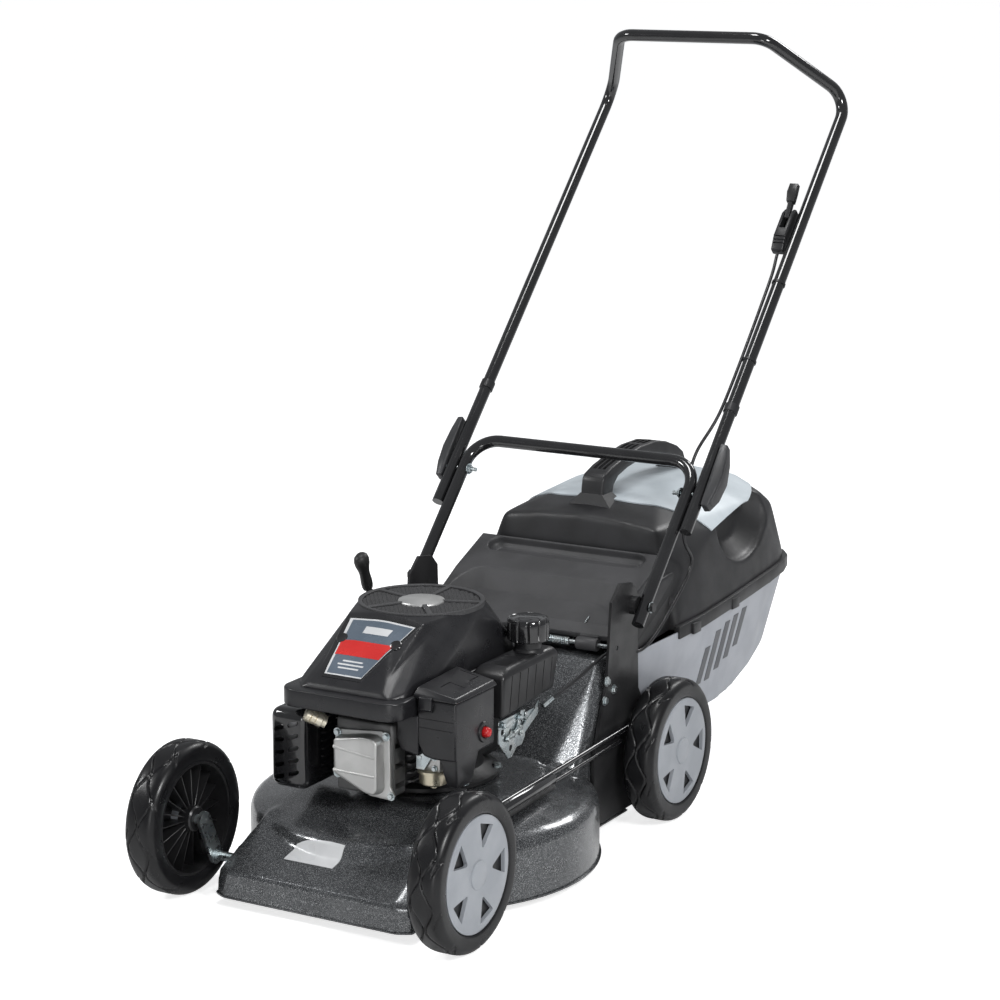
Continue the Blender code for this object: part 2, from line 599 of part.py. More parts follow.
tank = hull("fuel_tank", [
    (0.0905, -0.062, 0.222), (0.136, -0.062, 0.222), (0.0905, 0.082, 0.232), (0.136, 0.082, 0.232),
    (0.0905, -0.064, 0.284), (0.140, -0.064, 0.284), (0.0905, 0.086, 0.284), (0.140, 0.086, 0.284),
    (0.094, -0.058, 0.291), (0.135, -0.058, 0.291), (0.094, 0.080, 0.291), (0.135, 0.080, 0.291),
], "black_plastic")
FILL_AT = Vector((0.1145, 0.045, 0))
join(tank, turned("cut_neck", [(0.0, 0.288), (0.0185, 0.288), (0.0185, 0.3140), (0.0, 0.3140)],
                  FILL_AT, (0, 0, 1), steps=32))
cut(tank, box("cut_tank_inside", (0.093, -0.0575, 0.2345), (0.1335, 0.0795, 0.2885)))
cut(tank, rod("cut_neck_bore", FILL_AT + Vector((0, 0, 0.27)), FILL_AT + Vector((0, 0, 0.33)), 0.0160))
turned("fuel_cap", [(0.0, 0.3143), (0.0188, 0.3143), (0.0188, 0.3060), (0.0275, 0.3060),
                    (0.0285, 0.3120), (0.0285, 0.3340), (0.0260, 0.3370), (0.0, 0.3385)],
       FILL_AT, (0, 0, 1), "black_plastic", steps=40)
zinc = plate("throttle_plate", [(-0.050, 0.190), (-0.020, 0.158), (0.012, 0.163), (0.020, 0.200),
                                (0.020, 0.2165), (-0.050, 0.2165)], 0.122, 0.1245, look="zinc")
ARM_AT = Vector((0.1255, 0.006, 0.190))
arm = hull("throttle_arm", slab(ARM_AT, ARM_AT + Vector((0, 0.038, 0.018)), 0.002, 0.006), "zinc",
           origin=ARM_AT)
cut(arm, rod("cut_arm_hole", ARM_AT - Vector((0.01, 0, 0)), ARM_AT + Vector((0.01, 0, 0)),
             0.003 + GAP))
join(zinc, rod("cut_arm_stud", ARM_AT - Vector((0.002, 0, 0)), ARM_AT + Vector((0.005, 0, 0)), 0.003,
               sides=16))
GRIP_AT = Vector((-0.045, 0.118, 0.300))
PULL = Vector((0, 0.5, 0.866)).normalized()
box("starter_grip", (-0.062, 0.104, 0.306), (-0.028, 0.122, 0.318), "black_plastic", bevel=0.004,
    origin=GRIP_AT)

# ---------------------------------------------------------------- rear flap
FLAP_HALF = 0.150
hinge = rod("flap_rod", (-PLATE_X - 0.002, HINGE_Y, HINGE_Z), (PLATE_X + 0.002, HINGE_Y, HINGE_Z),
            0.003, "zinc")
for side, tag in ((1, "l"), (-1, "r")):
    cut(bpy.data.objects["side_plate_" + tag],
        rod("cut_rod_seat_" + tag, (side * 0.14, HINGE_Y, HINGE_Z),
            (side * 0.170, HINGE_Y, HINGE_Z), 0.003 + GAP))
flap = plate("rear_flap", [(0.2145, 0.2655), (0.238, 0.2795), (0.302, 0.3150), (0.372, 0.3410),
                           (0.3775, 0.3500), (0.3775, 0.3660), (0.3700, 0.3660),
                           (0.3690, 0.3500), (0.299, 0.3230), (0.234, 0.2870), (0.2110, 0.2745)],
             -FLAP_HALF, FLAP_HALF, look="dark_plastic", origin=(0, HINGE_Y, HINGE_Z))
for side, tag in ((1, "l"), (-1, "r")):
    middle = Vector((side * 0.118, HINGE_Y, HINGE_Z))
    reach = Vector((side * 0.016, 0, 0))
    join(flap, rod("cut_knuckle_" + tag, middle - reach, middle + reach, 0.0095))
cut(flap, rod("cut_flap_bore", (-0.2, HINGE_Y, HINGE_Z), (0.2, HINGE_Y, HINGE_Z), 0.003 + GAP))
turned("flap_spring", [(0.0036, -0.030), (0.0060, -0.030), (0.0060, 0.030), (0.0036, 0.030)],
       (0.060, HINGE_Y, HINGE_Z), (1, 0, 0), "zinc", origin=(0, HINGE_Y, HINGE_Z), steps=20)

# ---------------------------------------------------------------- catcher


def rim_height(y):
    share = max(0.0, (y - CATCH_Y) / (CATCH_BACK - CATCH_Y))
    return RIM_Z + RIM_RISE * share


PLAN = [(0.155, CATCH_Y), (0.157, 0.335), (CATCH_HALF, 0.385), (CATCH_HALF + 0.002, 0.55),
        (CATCH_HALF - 0.006, 0.70), (CATCH_HALF - 0.030, 0.775), (0.100, CATCH_BACK - 0.012),
        (0.0, CATCH_BACK)]


def bin_form(name, inset, look=None):
    near = []
    for x, y in PLAN:
        top = rim_height(y) + (0.02 if inset else 0)
        front = y < CATCH_Y + 0.01
        depth = y if front and not inset else (y + (-0.02 if front else -inset * (y > 0.6)))
        near.append((x - inset, depth, top))
        near.append((x - inset, depth, rim_height(y) - 0.012))
    for x, y, z in ((0.148, CATCH_Y, 0.092), (0.148, 0.40, 0.092), (0.145, 0.50, 0.106),
                    (0.140, 0.62, 0.160), (0.120, 0.71, 0.208), (0.0, 0.76, 0.228),
                    (0.0, 0.66, 0.176), (0.0, 0.50, 0.100)):
        depth = y - 0.02 if inset and y < 0.3 else y
        near.append((x - inset, depth, z + inset))
    return hull(name, mirrored(near), look)


catch_bin = bin_form("catcher_bin", 0, "grey_plastic")
cut(catch_bin, bin_form("cut_bin_inside", CATCH_WALL))


def dome_form(name, inset):
    near = []
    for x, y in PLAN[2:]:
        if y < 0.39:
            y = 0.392
            x = 0.166
        edge = rim_height(y) + GAP
        near.append((x - inset, y + (inset if y < 0.4 else -inset), edge - (0.02 if inset else 0)))
        near.append((x - inset, y + (inset if y < 0.4 else -inset), edge + 0.012))
    for x, y, z in ((0.132, 0.388, 0.345), (0.128, 0.400, 0.388), (0.060, 0.398, 0.392),
                    (0.0, 0.458, 0.411), (0.090, 0.47, 0.402), (0.156, 0.520, 0.366),
                    (0.0, 0.600, 0.416), (0.060, 0.60, 0.412), (0.120, 0.62, 0.400),
                    (0.150, 0.64, 0.384), (0.0, 0.733, 0.411), (0.090, 0.733, 0.404),
                    (0.138, 0.725, 0.384), (0.0, 0.785, 0.380), (0.080, 0.780, 0.374),
                    (0.120, 0.770, 0.346), (0.0, 0.815, 0.320), (0.070, 0.810, 0.316)):
        near.append((x - inset if x else 0, y + (inset if y < 0.6 else -inset), z - inset))
    return hull(name, mirrored(near))


def front_form(name, inset, look=None):
    near = []
    end = 0.41
    for x, y, z in ((0.158, CATCH_Y, RIM_Z + GAP), (0.158, CATCH_Y, 0.2530),
                    (0.150, CATCH_Y, 0.2720), (0.150, 0.300, 0.2985), (0.150, 0.368, 0.3270)):
        near.append((x - inset, y - (0.02 if inset and y < 0.27 else 0),
                     z - inset if z > 0.24 else z - (0.02 if inset else 0)))
    near.append((0.150 - inset, end, 0.3270 - inset))
    near.append((0.163 - inset, end, rim_height(end) + GAP - (0.02 if inset else 0)))
    near.append((0.163 - inset, end, 0.27))
    return hull(name, mirrored(near), look)


top = front_form("catcher_top", 0, "black_plastic")
join(top, dome_form("cut_dome", 0))
cut(top, front_form("cut_front_inside", CATCH_WALL))
cut(top, dome_form("cut_dome_inside", CATCH_WALL))
GRIP_PATH = [(0, 0.448, 0.4145), (0, 0.446, 0.443), (0, 0.470, 0.452), (0, 0.560, 0.470),
             (0, 0.640, 0.470), (0, 0.715, 0.450), (0, 0.735, 0.438), (0, 0.738, 0.4145)]
grip = tube("catcher_grip", rounded(GRIP_PATH, 0.008, 3), 0.011, "black_plastic",
            origin=(0, 0.45, 0.41))
cut(grip, dome_form("cut_grip_foot", -GAP))

# ---------------------------------------------------------------- handles
leg_ends = [on_leg(side * LEG_X, s) for side, s in ((1, -0.030), (1, CROSSBAR_S),
                                                   (-1, CROSSBAR_S), (-1, -0.030))]
lower = tube("lower_handle", rounded(leg_ends, 0.042), TUBE_R, "black_steel",
             origin=PIVOT, wall=TUBE_WALL)
upper_path = [on_leg(UPPER_X, UPPER_S), on_leg(UPPER_X, KINK_S), Vector((TOP_HALF, TOP_Y, TOP_Z)),
              Vector((-TOP_HALF, TOP_Y, TOP_Z)), on_leg(-UPPER_X, KINK_S), on_leg(-UPPER_X, UPPER_S)]
CAM = on_leg(0, CAM_S)
upper = tube("upper_handle", rounded(upper_path, 0.035), TUBE_R, "black_steel",
             origin=CAM, wall=TUBE_WALL)
for side, tag in ((1, "l"), (-1, "r")):
    for spot, key, pieces in ((PIVOT, "pivot", (lower,)), (CAM, "cam", (lower, upper))):
        hole = rod("cut_handle_" + key + "_" + tag, spot + Vector((side * 0.15, 0, 0)),
                   spot + Vector((side * 0.25, 0, 0)), BOLT_R + GAP)
        for piece in pieces:
            cut(piece, hole)
    start = CAM + Vector((side * (LEG_X - TUBE_R - 0.012), 0, 0))
    end = CAM + Vector((side * (UPPER_X + TUBE_R + 0.010), 0, 0))
    face = side * (UPPER_X + TUBE_R + 0.001)
    lever = hull("cam_lever_" + tag,
                 slab(CAM + Vector((face, 0, 0)), on_leg(face, CAM_S + 0.030, -0.004),
                      side * 0.012, 0.0115) +
                 slab(on_leg(face, CAM_S + 0.066, -0.001) + Vector((side * 0.002, 0, 0)),
                      on_leg(face, CAM_S + 0.072, 0.000) + Vector((side * 0.002, 0, 0)),
                      side * 0.010, 0.008), "black_plastic",
                 origin=CAM + Vector((face, 0, 0)))
    join(lever, rod("cut_cam_bolt_" + tag, start, end, BOLT_R))
    join(lever, rod("cut_cam_nut_" + tag, CAM + Vector((side * (LEG_X - TUBE_R - GAP), 0, 0)),
                    CAM + Vector((side * (LEG_X - TUBE_R - 0.005), 0, 0)), 0.006, sides=6))

# throttle control inside the left leg, and its cable
CONTROL_S = 0.660
control = on_leg(UPPER_X - TUBE_R - 0.001, CONTROL_S)
wide = 0.020
body = []
for s, lift in ((-0.045, -0.006), (-0.045, 0.008), (-0.020, -0.012), (-0.020, 0.016),
                (0.020, -0.012), (0.022, 0.016), (0.032, -0.004), (0.032, 0.010)):
    for x in (0, -wide):
        body.append(on_leg(control.x + x, CONTROL_S + s, lift))
house = hull("throttle_control", body, "black_plastic")
AXIS_S = CONTROL_S + 0.010
slot = [on_leg(control.x + x, AXIS_S + s, lift) for x in (-0.0055, -0.0145) for s in (-0.018, 0.05)
        for lift in (0.0, 0.03)]
cut(house, hull("cut_control_slot", slot))
LEVER_PIN = on_leg(control.x - 0.010, AXIS_S, 0.008)
paddle_points = []
for s, lift, half in ((0.000, 0.006, 0.0038), (0.000, 0.015, 0.0038), (0.030, 0.012, 0.0038),
                      (0.030, 0.022, 0.0038)):
    for x in (-half, half):
        paddle_points.append(on_leg(LEVER_PIN.x + x, AXIS_S + s, lift))
paddle = hull("throttle_lever", paddle_points, "black_plastic", origin=LEVER_PIN)
blade_points = []
for s, lift, half in ((0.026, 0.012, 0.008), (0.026, 0.024, 0.008), (0.056, 0.020, 0.008),
                      (0.054, 0.030, 0.008)):
    for x in (-half, half):
        blade_points.append(on_leg(LEVER_PIN.x + x, AXIS_S + s, lift))
join(paddle, hull("cut_paddle_pad", blade_points))

CABLE_R = 0.0025
CABLE_KEYS = [on_leg(control.x - 0.010, CONTROL_S - 0.0465, 0.001),
              on_leg(UPPER_X - TUBE_R - 0.0060, CONTROL_S - 0.110),
              on_leg(UPPER_X - TUBE_R - 0.0060, 0.340),
              on_leg(LEG_X - TUBE_R - 0.009, 0.250, -0.0145),
              on_leg(LEG_X - TUBE_R - 0.0095, 0.190, -0.010),
              on_leg(LEG_X - TUBE_R - 0.010, 0.110, 0.002),
              Vector((PLATE_X - 0.003, 0.270, 0.372)), Vector((PLATE_X - 0.005, 0.222, 0.325)),
              Vector((0.1540, 0.165, 0.282)),
              Vector((0.1430, 0.100, 0.2400)), Vector((0.1300, 0.058, 0.2120))]


def smooth_path(keys, spacing):
    """A Catmull-Rom curve through the keys with evenly set points."""
    padded = [keys[0] * 2 - keys[1]] + list(keys) + [keys[-1] * 2 - keys[-2]]
    dense = []
    for a, b, c, d in zip(padded, padded[1:], padded[2:], padded[3:]):
        for i in range(12):
            t = i / 12
            dense.append(0.5 * (2 * b + (c - a) * t + (2 * a - 5 * b + 4 * c - d) * t * t
                                + (3 * b - a - 3 * c + d) * t ** 3))
    dense.append(keys[-1])
    path = [dense[0]]
    for spot in dense[1:]:
        if (spot - path[-1]).length >= spacing:
            path.append(spot)
    path[-1] = dense[-1]
    return path


tube("throttle_cable", smooth_path(CABLE_KEYS, 0.0125), CABLE_R, "rubber", resolution=2)

# ---------------------------------------------------------------- origin
# The origin goes under the middle of the whole mower's box, at ground level.
graph = bpy.context.evaluated_depsgraph_get()
spots = []
for piece in PARTS.objects:
    shown = piece.evaluated_get(graph)
    spots += [shown.matrix_world @ vert.co for vert in shown.data.vertices]
middle = (min(spot.y for spot in spots) + max(spot.y for spot in spots)) / 2
for piece in bpy.data.objects:
    piece.location.y -= middle
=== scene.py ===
"""A petrol rotary lawn mower with a grass catcher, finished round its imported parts."""
import math

import bpy
from mathutils import Matrix, Vector


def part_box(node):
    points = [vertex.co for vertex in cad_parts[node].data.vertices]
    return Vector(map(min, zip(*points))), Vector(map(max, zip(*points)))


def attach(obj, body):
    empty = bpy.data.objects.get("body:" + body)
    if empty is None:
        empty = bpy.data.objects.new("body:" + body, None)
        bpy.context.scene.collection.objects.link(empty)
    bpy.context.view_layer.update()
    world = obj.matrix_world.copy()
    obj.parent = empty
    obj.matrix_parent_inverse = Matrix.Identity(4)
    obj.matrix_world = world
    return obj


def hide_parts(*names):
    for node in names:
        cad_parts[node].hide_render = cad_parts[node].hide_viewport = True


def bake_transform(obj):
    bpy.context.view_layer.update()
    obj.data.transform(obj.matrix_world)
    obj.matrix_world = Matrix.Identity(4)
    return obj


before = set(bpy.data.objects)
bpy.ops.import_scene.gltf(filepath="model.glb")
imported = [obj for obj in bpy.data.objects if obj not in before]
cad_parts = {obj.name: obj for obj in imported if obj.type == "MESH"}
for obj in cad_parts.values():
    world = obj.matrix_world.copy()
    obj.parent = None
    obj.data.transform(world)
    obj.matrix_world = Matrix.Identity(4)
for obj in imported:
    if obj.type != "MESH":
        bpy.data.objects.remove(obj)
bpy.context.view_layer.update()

# ---------------------------------------------------------------- places
# The mower is drawn from the middle of its wheelbase; the frame's origin is
# under the middle of its whole box, so every Y moves by the same amount.
shaft_low, shaft_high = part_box("crankshaft")
SHAFT_AHEAD = -0.033
MOVED = (shaft_low[1] + shaft_high[1]) / 2 - SHAFT_AHEAD

SHEET = 0.0025
LIP_Z = 0.015
CHAMBER_R = 0.235
TUNNEL_END = 0.250
WHEEL_R = 0.1015
WHEEL_W = 0.046
RIM_R = 0.0757
WHEELBASE = 0.582
FRONT_OUT = 0.235
REAR_OUT = 0.226
TUBE_R = 0.009
LEG_X = 0.184
UPPER_X = 0.2026
HANDLE_TILT = math.radians(46.4)
PIVOT_Y = 0.250
PIVOT_Z = 0.314
FAN_Y = -0.040
GRILLE_R = 0.0795
COWL_TOP = 0.366
COWL_FOOT = 0.283
RIM_Z = 0.236
RIM_RISE = 0.034
CATCH_FRONT = 0.2625
CATCH_BACK = 0.822


def at(x, y, z):
    """A place given from the middle of the wheelbase."""
    return Vector((x, y + MOVED, z))


def on_leg(x, along, lift=0.0):
    """A place on a handle leg, from its pivot, with lift square to the leg."""
    run = Vector((0, math.cos(HANDLE_TILT), math.sin(HANDLE_TILT)))
    rise = Vector((0, -run.z, run.y))
    return at(x, PIVOT_Y, PIVOT_Z) + run * along + rise * lift


# ---------------------------------------------------------------- workshop
def free():
    if bpy.context.mode != "OBJECT":
        bpy.ops.object.mode_set(mode="OBJECT")
    bpy.ops.object.select_all(action="DESELECT")


def pick(piece):
    free()
    piece.select_set(True)
    bpy.context.view_layer.objects.active = piece


def edit(piece, select="SELECT"):
    pick(piece)
    bpy.ops.object.mode_set(mode="EDIT")
    bpy.ops.mesh.select_mode(type="VERT")
    bpy.ops.mesh.select_all(action=select)


def done():
    bpy.ops.object.mode_set(mode="OBJECT")


def modify(piece, kind, **values):
    mod = piece.modifiers.new(kind.lower(), kind)
    for key, value in values.items():
        setattr(mod, key, value)
    pick(piece)
    bpy.ops.object.modifier_apply(modifier=mod.name)
    return piece


def bevel(piece, width, segments=3, **limits):
    return modify(piece, "BEVEL", width=width, segments=segments, limit_method="ANGLE", **limits)


def carve(piece, tool, how="DIFFERENCE"):
    modify(piece, "BOOLEAN", object=tool, operation=how, solver="EXACT")
    bpy.data.objects.remove(tool)
    return piece


def shade(piece, degrees=40):
    pick(piece)
    bpy.ops.object.shade_smooth_by_angle(angle=math.radians(degrees))
    return piece


def block(name, low, high, edge=0.0, segments=3):
    low = Vector(low)
    high = Vector(high)
    free()
    bpy.ops.mesh.primitive_cube_add(size=1, location=(low + high) / 2, scale=high - low)
    piece = bpy.context.object
    piece.name = name
    bpy.ops.object.transform_apply(location=True, rotation=True, scale=True)
    if edge:
        bevel(piece, edge, segments)
    return shade(piece)


def from_spots(name, spots, faces=()):
    """An object made of bare places, with or without faces."""
    mesh = bpy.data.meshes.new(name)
    mesh.from_pydata([tuple(spot) for spot in spots], [], list(faces))
    piece = bpy.data.objects.new(name, mesh)
    bpy.context.scene.collection.objects.link(piece)
    return piece


def wrap(name, points):
    """The tight skin round a set of points."""
    piece = from_spots(name, points)
    edit(piece)
    bpy.ops.mesh.convex_hull()
    bpy.ops.mesh.select_all(action="SELECT")
    bpy.ops.mesh.remove_doubles(threshold=1e-5)
    bpy.ops.mesh.dissolve_limited(angle_limit=math.radians(0.5))
    done()
    return piece


def trim(place, way, fill=False):
    """Cut off what lies past a plane from the piece that is being edited."""
    bpy.ops.mesh.select_all(action="SELECT")
    bpy.ops.mesh.bisect(plane_co=place, plane_no=way, clear_outer=True, use_fill=fill)


def soften(piece, voxel, rounds):
    """Run every edge of a solid over into a moulded or pressed one."""
    modify(piece, "REMESH", mode="VOXEL", voxel_size=voxel)
    modify(piece, "SMOOTH", factor=0.5, iterations=rounds)
    pick(piece)
    bpy.ops.object.shade_smooth()
    return piece


def both_sides(points):
    return list(points) + [Vector((-p.x, p.y, p.z)) for p in points]


def turn(name, profile, steps, closed=True):
    """A turned piece about Z: rings of (radius, height), extruded one by one."""
    rows = [(max(r, 1e-5), h) for r, h in profile]
    if closed:
        rows.append(rows[0])
    free()
    bpy.ops.mesh.primitive_circle_add(vertices=steps, radius=rows[0][0], location=(0, 0,
        rows[0][1]))
    piece = bpy.context.object
    piece.name = name
    bpy.ops.object.transform_apply(location=True, rotation=True, scale=True)
    edit(piece)
    for (r0, h0), (r1, h1) in zip(rows, rows[1:]):
        bpy.ops.mesh.extrude_region_move(TRANSFORM_OT_translate={"value": (0, 0, h1 - h0)})
        grow = r1 / r0
        bpy.ops.transform.resize(value=(grow, grow, 1), center_override=(0, 0, 0))
    bpy.ops.mesh.select_all(action="SELECT")
    bpy.ops.mesh.remove_doubles(threshold=4e-5)
    bpy.ops.mesh.normals_make_consistent(inside=False)
    done()
    return piece


def stand(piece, centre, axis):
    """Carry a piece made about Z to its own axis."""
    lean = Vector(axis).normalized().to_track_quat("Z", "Y").to_matrix().to_4x4()
    piece.data.transform(Matrix.Translation(centre) @ lean)
    piece.data.update()
    return piece


def turned(name, profile, centre, axis, steps=48, closed=True, degrees=38):
    return shade(stand(turn(name, profile, steps, closed), centre, axis), degrees)


def pipe(name, path, radius, rounds=6):
    """A round bar along a path."""
    curve = bpy.data.curves.new(name, "CURVE")
    curve.dimensions = "3D"
    curve.bevel_depth = radius
    curve.bevel_resolution = rounds
    curve.use_fill_caps = True
    spline = curve.splines.new("POLY")
    spline.points.add(len(path) - 1)
    for knot, spot in zip(spline.points, path):
        knot.co = (*spot, 1)
    piece = bpy.data.objects.new(name, curve)
    bpy.context.scene.collection.objects.link(piece)
    pick(piece)
    bpy.ops.object.convert(target="MESH")
    edit(piece)
    bpy.ops.mesh.remove_doubles(threshold=1e-6)
    bpy.ops.mesh.normals_make_consistent(inside=False)
    done()
    return shade(piece, 50)


def rounded(corners, radius, steps=10):
    """A path with each inner corner bent to the same radius."""
    path = [Vector(corners[0])]
    for before, corner, after in zip(corners, corners[1:], corners[2:]):
        back = (before - corner).normalized()
        ahead = (after - corner).normalized()
        half = back.angle(ahead) / 2
        middle = corner + (back + ahead).normalized() * (radius / math.sin(half))
        reach = radius / math.tan(half)
        first = (corner + back * reach - middle).normalized()
        last = (corner + ahead * reach - middle).normalized()
        path += [middle + first.slerp(last, i / steps) * radius for i in range(steps + 1)]
    path.append(Vector(corners[-1]))
    return path


def together(name, pieces):
    """Several pieces of one moulding made one object."""
    free()
    for piece in pieces:
        piece.select_set(True)
    bpy.context.view_layer.objects.active = pieces[0]
    if len(pieces) > 1:
        bpy.ops.object.join()
    pieces[0].name = name
    return pieces[0]


def finish(piece, body, material, *nodes, slot=None):
    """Give a piece its material and body, and hide the CAD nodes it stands for."""
    piece.data.materials.clear()
    piece.data.materials.append(material)
    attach(piece, body)
    if nodes:
        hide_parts(*nodes)
    return piece


def hex_bolt(name, centre, axis, size, height, steps=6):
    """A hexagon head with a chamfered top and a washer under it."""
    head = turned(name, [(0, 0.0006), (size, 0.0006), (size, height * 0.8), (size * 0.86, height),
        (0, height)], centre, axis, steps, degrees=20)
    washer = turned(name + "_washer", [(0, 0), (size * 1.35, 0), (size * 1.35, 0.0012),
        (0, 0.0012)], centre, axis, 24)
    return together(name, [head, washer])


# ---------------------------------------------------------------- finishes
def noise_group(name, inputs, output, kind, detail):
    """A node group that starts from noise over the object."""
    group = bpy.data.node_groups.new(name, "ShaderNodeTree")
    for label in inputs:
        group.interface.new_socket(label, in_out="INPUT", socket_type="NodeSocketFloat")
    group.interface.new_socket(output, in_out="OUTPUT", socket_type="NodeSocket" + kind)
    entry, leave, place, noise = [group.nodes.new(node) for node in ("NodeGroupInput",
        "NodeGroupOutput", "ShaderNodeTexCoord", "ShaderNodeTexNoise")]
    noise.inputs["Detail"].default_value = detail
    group.links.new(place.outputs["Object"], noise.inputs["Vector"])
    group.links.new(entry.outputs["Scale"], noise.inputs["Scale"])
    return group, entry, noise, leave


def grain_group():
    """Fine bumps of a moulded, painted or cast surface."""
    group, entry, noise, leave = noise_group("surface_grain", ("Scale", "Depth"), "Normal",
        "Vector", 3)
    bump = group.nodes.new("ShaderNodeBump")
    bump.inputs["Strength"].default_value = 0.6
    group.links.new(noise.outputs["Fac"], bump.inputs["Height"])
    group.links.new(entry.outputs["Depth"], bump.inputs["Distance"])
    group.links.new(bump.outputs["Normal"], leave.inputs["Normal"])
    return group


def handling_group():
    """Slow changes over a surface: where it is dusty, rubbed or duller."""
    group, entry, noise, leave = noise_group("handling", ("Scale", "Low", "High"), "Dull",
        "Float", 5)
    spread = group.nodes.new("ShaderNodeMapRange")
    spread.inputs["From Min"].default_value = 0.35
    spread.inputs["From Max"].default_value = 0.65
    group.links.new(noise.outputs["Fac"], spread.inputs["Value"])
    group.links.new(entry.outputs["Low"], spread.inputs["To Min"])
    group.links.new(entry.outputs["High"], spread.inputs["To Max"])
    group.links.new(spread.outputs["Result"], leave.inputs["Dull"])
    return group


GRAIN = grain_group()
HANDLING = handling_group()


def use_group(tree, group, **values):
    node = tree.nodes.new("ShaderNodeGroup")
    node.node_tree = group
    for key, value in values.items():
        node.inputs[key].default_value = value
    return node


def tint(tree, base, other, scale, low=0.4, high=0.6, detail=3):
    """A colour that drifts between two near tones; returns its output."""
    place = tree.nodes.new("ShaderNodeTexCoord")
    noise = tree.nodes.new("ShaderNodeTexNoise")
    noise.inputs["Scale"].default_value = scale
    noise.inputs["Detail"].default_value = detail
    ramp = tree.nodes.new("ShaderNodeValToRGB")
    ramp.color_ramp.elements[0].position = low
    ramp.color_ramp.elements[1].position = high
    ramp.color_ramp.elements[0].color = (*base, 1)
    ramp.color_ramp.elements[1].color = (*other, 1)
    tree.links.new(place.outputs["Object"], noise.inputs["Vector"])
    tree.links.new(noise.outputs["Fac"], ramp.inputs["Fac"])
    return ramp.outputs["Color"]


def surface(name, base, other, rough=(0.3, 0.4), metal=0.0, coat=0.0, coat_rough=0.1, grain=900.0,
        depth=0.00006, drift=18.0, specular=0.5):
    """A finish with drifting tone, changing dullness and fine grain."""
    material = bpy.data.materials.new(name)
    material.use_nodes = True
    tree = material.node_tree
    shader = tree.nodes["Principled BSDF"]
    shader.inputs["Metallic"].default_value = metal
    shader.inputs["Coat Weight"].default_value = coat
    shader.inputs["Coat Roughness"].default_value = coat_rough
    shader.inputs["Specular IOR Level"].default_value = specular
    tree.links.new(tint(tree, base, other, drift), shader.inputs["Base Color"])
    dull = use_group(tree, HANDLING, Scale=drift * 1.7, Low=rough[0], High=rough[1])
    tree.links.new(dull.outputs["Dull"], shader.inputs["Roughness"])
    bumps = use_group(tree, GRAIN, Scale=grain, Depth=depth)
    tree.links.new(bumps.outputs["Normal"], shader.inputs["Normal"])
    return material


def hammertone_enamel():
    """Dark grey enamel that dried in small dimples, with silver flecks."""
    material = surface("hammertone_enamel", (0.040, 0.043, 0.047), (0.058, 0.062, 0.066),
        rough=(0.20, 0.30), metal=0.5, coat=0.7, coat_rough=0.07)
    tree = material.node_tree
    shader = tree.nodes["Principled BSDF"]
    ground = shader.inputs["Base Color"].links[0].from_socket
    place = tree.nodes.new("ShaderNodeTexCoord")
    fleck = tree.nodes.new("ShaderNodeTexNoise")
    fleck.inputs["Scale"].default_value = 1050
    fleck.inputs["Detail"].default_value = 2
    pick_flecks = tree.nodes.new("ShaderNodeMapRange")
    pick_flecks.inputs["From Min"].default_value = 0.54
    pick_flecks.inputs["From Max"].default_value = 0.66
    mix = tree.nodes.new("ShaderNodeMix")
    mix.data_type = "RGBA"
    mix.inputs[7].default_value = (0.42, 0.43, 0.44, 1)
    tree.links.new(place.outputs["Object"], fleck.inputs["Vector"])
    tree.links.new(fleck.outputs["Fac"], pick_flecks.inputs["Value"])
    tree.links.new(pick_flecks.outputs["Result"], mix.inputs[0])
    tree.links.new(ground, mix.inputs[6])
    tree.links.new(mix.outputs[2], shader.inputs["Base Color"])
    dimples = tree.nodes.new("ShaderNodeTexVoronoi")
    dimples.feature = "SMOOTH_F1"
    dimples.inputs["Scale"].default_value = 560
    bump = tree.nodes.new("ShaderNodeBump")
    bump.inputs["Strength"].default_value = 0.4
    bump.inputs["Distance"].default_value = 0.0003
    tree.links.new(place.outputs["Object"], dimples.inputs["Vector"])
    tree.links.new(dimples.outputs["Distance"], bump.inputs["Height"])
    tree.links.new(bump.outputs["Normal"], shader.inputs["Normal"])
    return material


DECK_ENAMEL = hammertone_enamel()
GLOSS_BLACK = surface("gloss_black_paint", (0.008, 0.008, 0.009), (0.012, 0.012, 0.013),
    (0.10, 0.16), coat=0.8, coat_rough=0.04, grain=1800, depth=0.000004)
COWL_BLACK = surface("cowl_black", (0.012, 0.012, 0.014), (0.018, 0.018, 0.020), (0.26, 0.36),
    grain=1500, depth=0.00004)
TANK_BLACK = surface("tank_black", (0.014, 0.014, 0.015), (0.020, 0.020, 0.022), (0.30, 0.42),
    grain=1300, depth=0.00006)
CATCHER_BLACK = surface("catcher_black", (0.018, 0.018, 0.019), (0.025, 0.025, 0.027),
    (0.38, 0.48), grain=1400, depth=0.00008)
FLAP_GREY = surface("flap_grey", (0.045, 0.045, 0.047), (0.055, 0.055, 0.058), (0.42, 0.52),
    grain=1200, depth=0.00012)
LEVER_GREY = surface("lever_grey", (0.030, 0.031, 0.033), (0.042, 0.043, 0.046), (0.36, 0.46))
PANEL_PALE = surface("panel_pale", (0.56, 0.62, 0.66), (0.62, 0.68, 0.72), (0.34, 0.42),
    grain=1500, depth=0.00004)
BIN_GREY = surface("bin_grey", (0.40, 0.42, 0.46), (0.45, 0.47, 0.51), (0.36, 0.46), grain=1200,
    depth=0.00005)
BIN_MARK = surface("bin_mark", (0.10, 0.105, 0.115), (0.12, 0.125, 0.135), (0.4, 0.5))
CAP_GREY = surface("cap_grey", (0.33, 0.35, 0.38), (0.38, 0.40, 0.43), (0.34, 0.44), grain=1300,
    depth=0.00005)
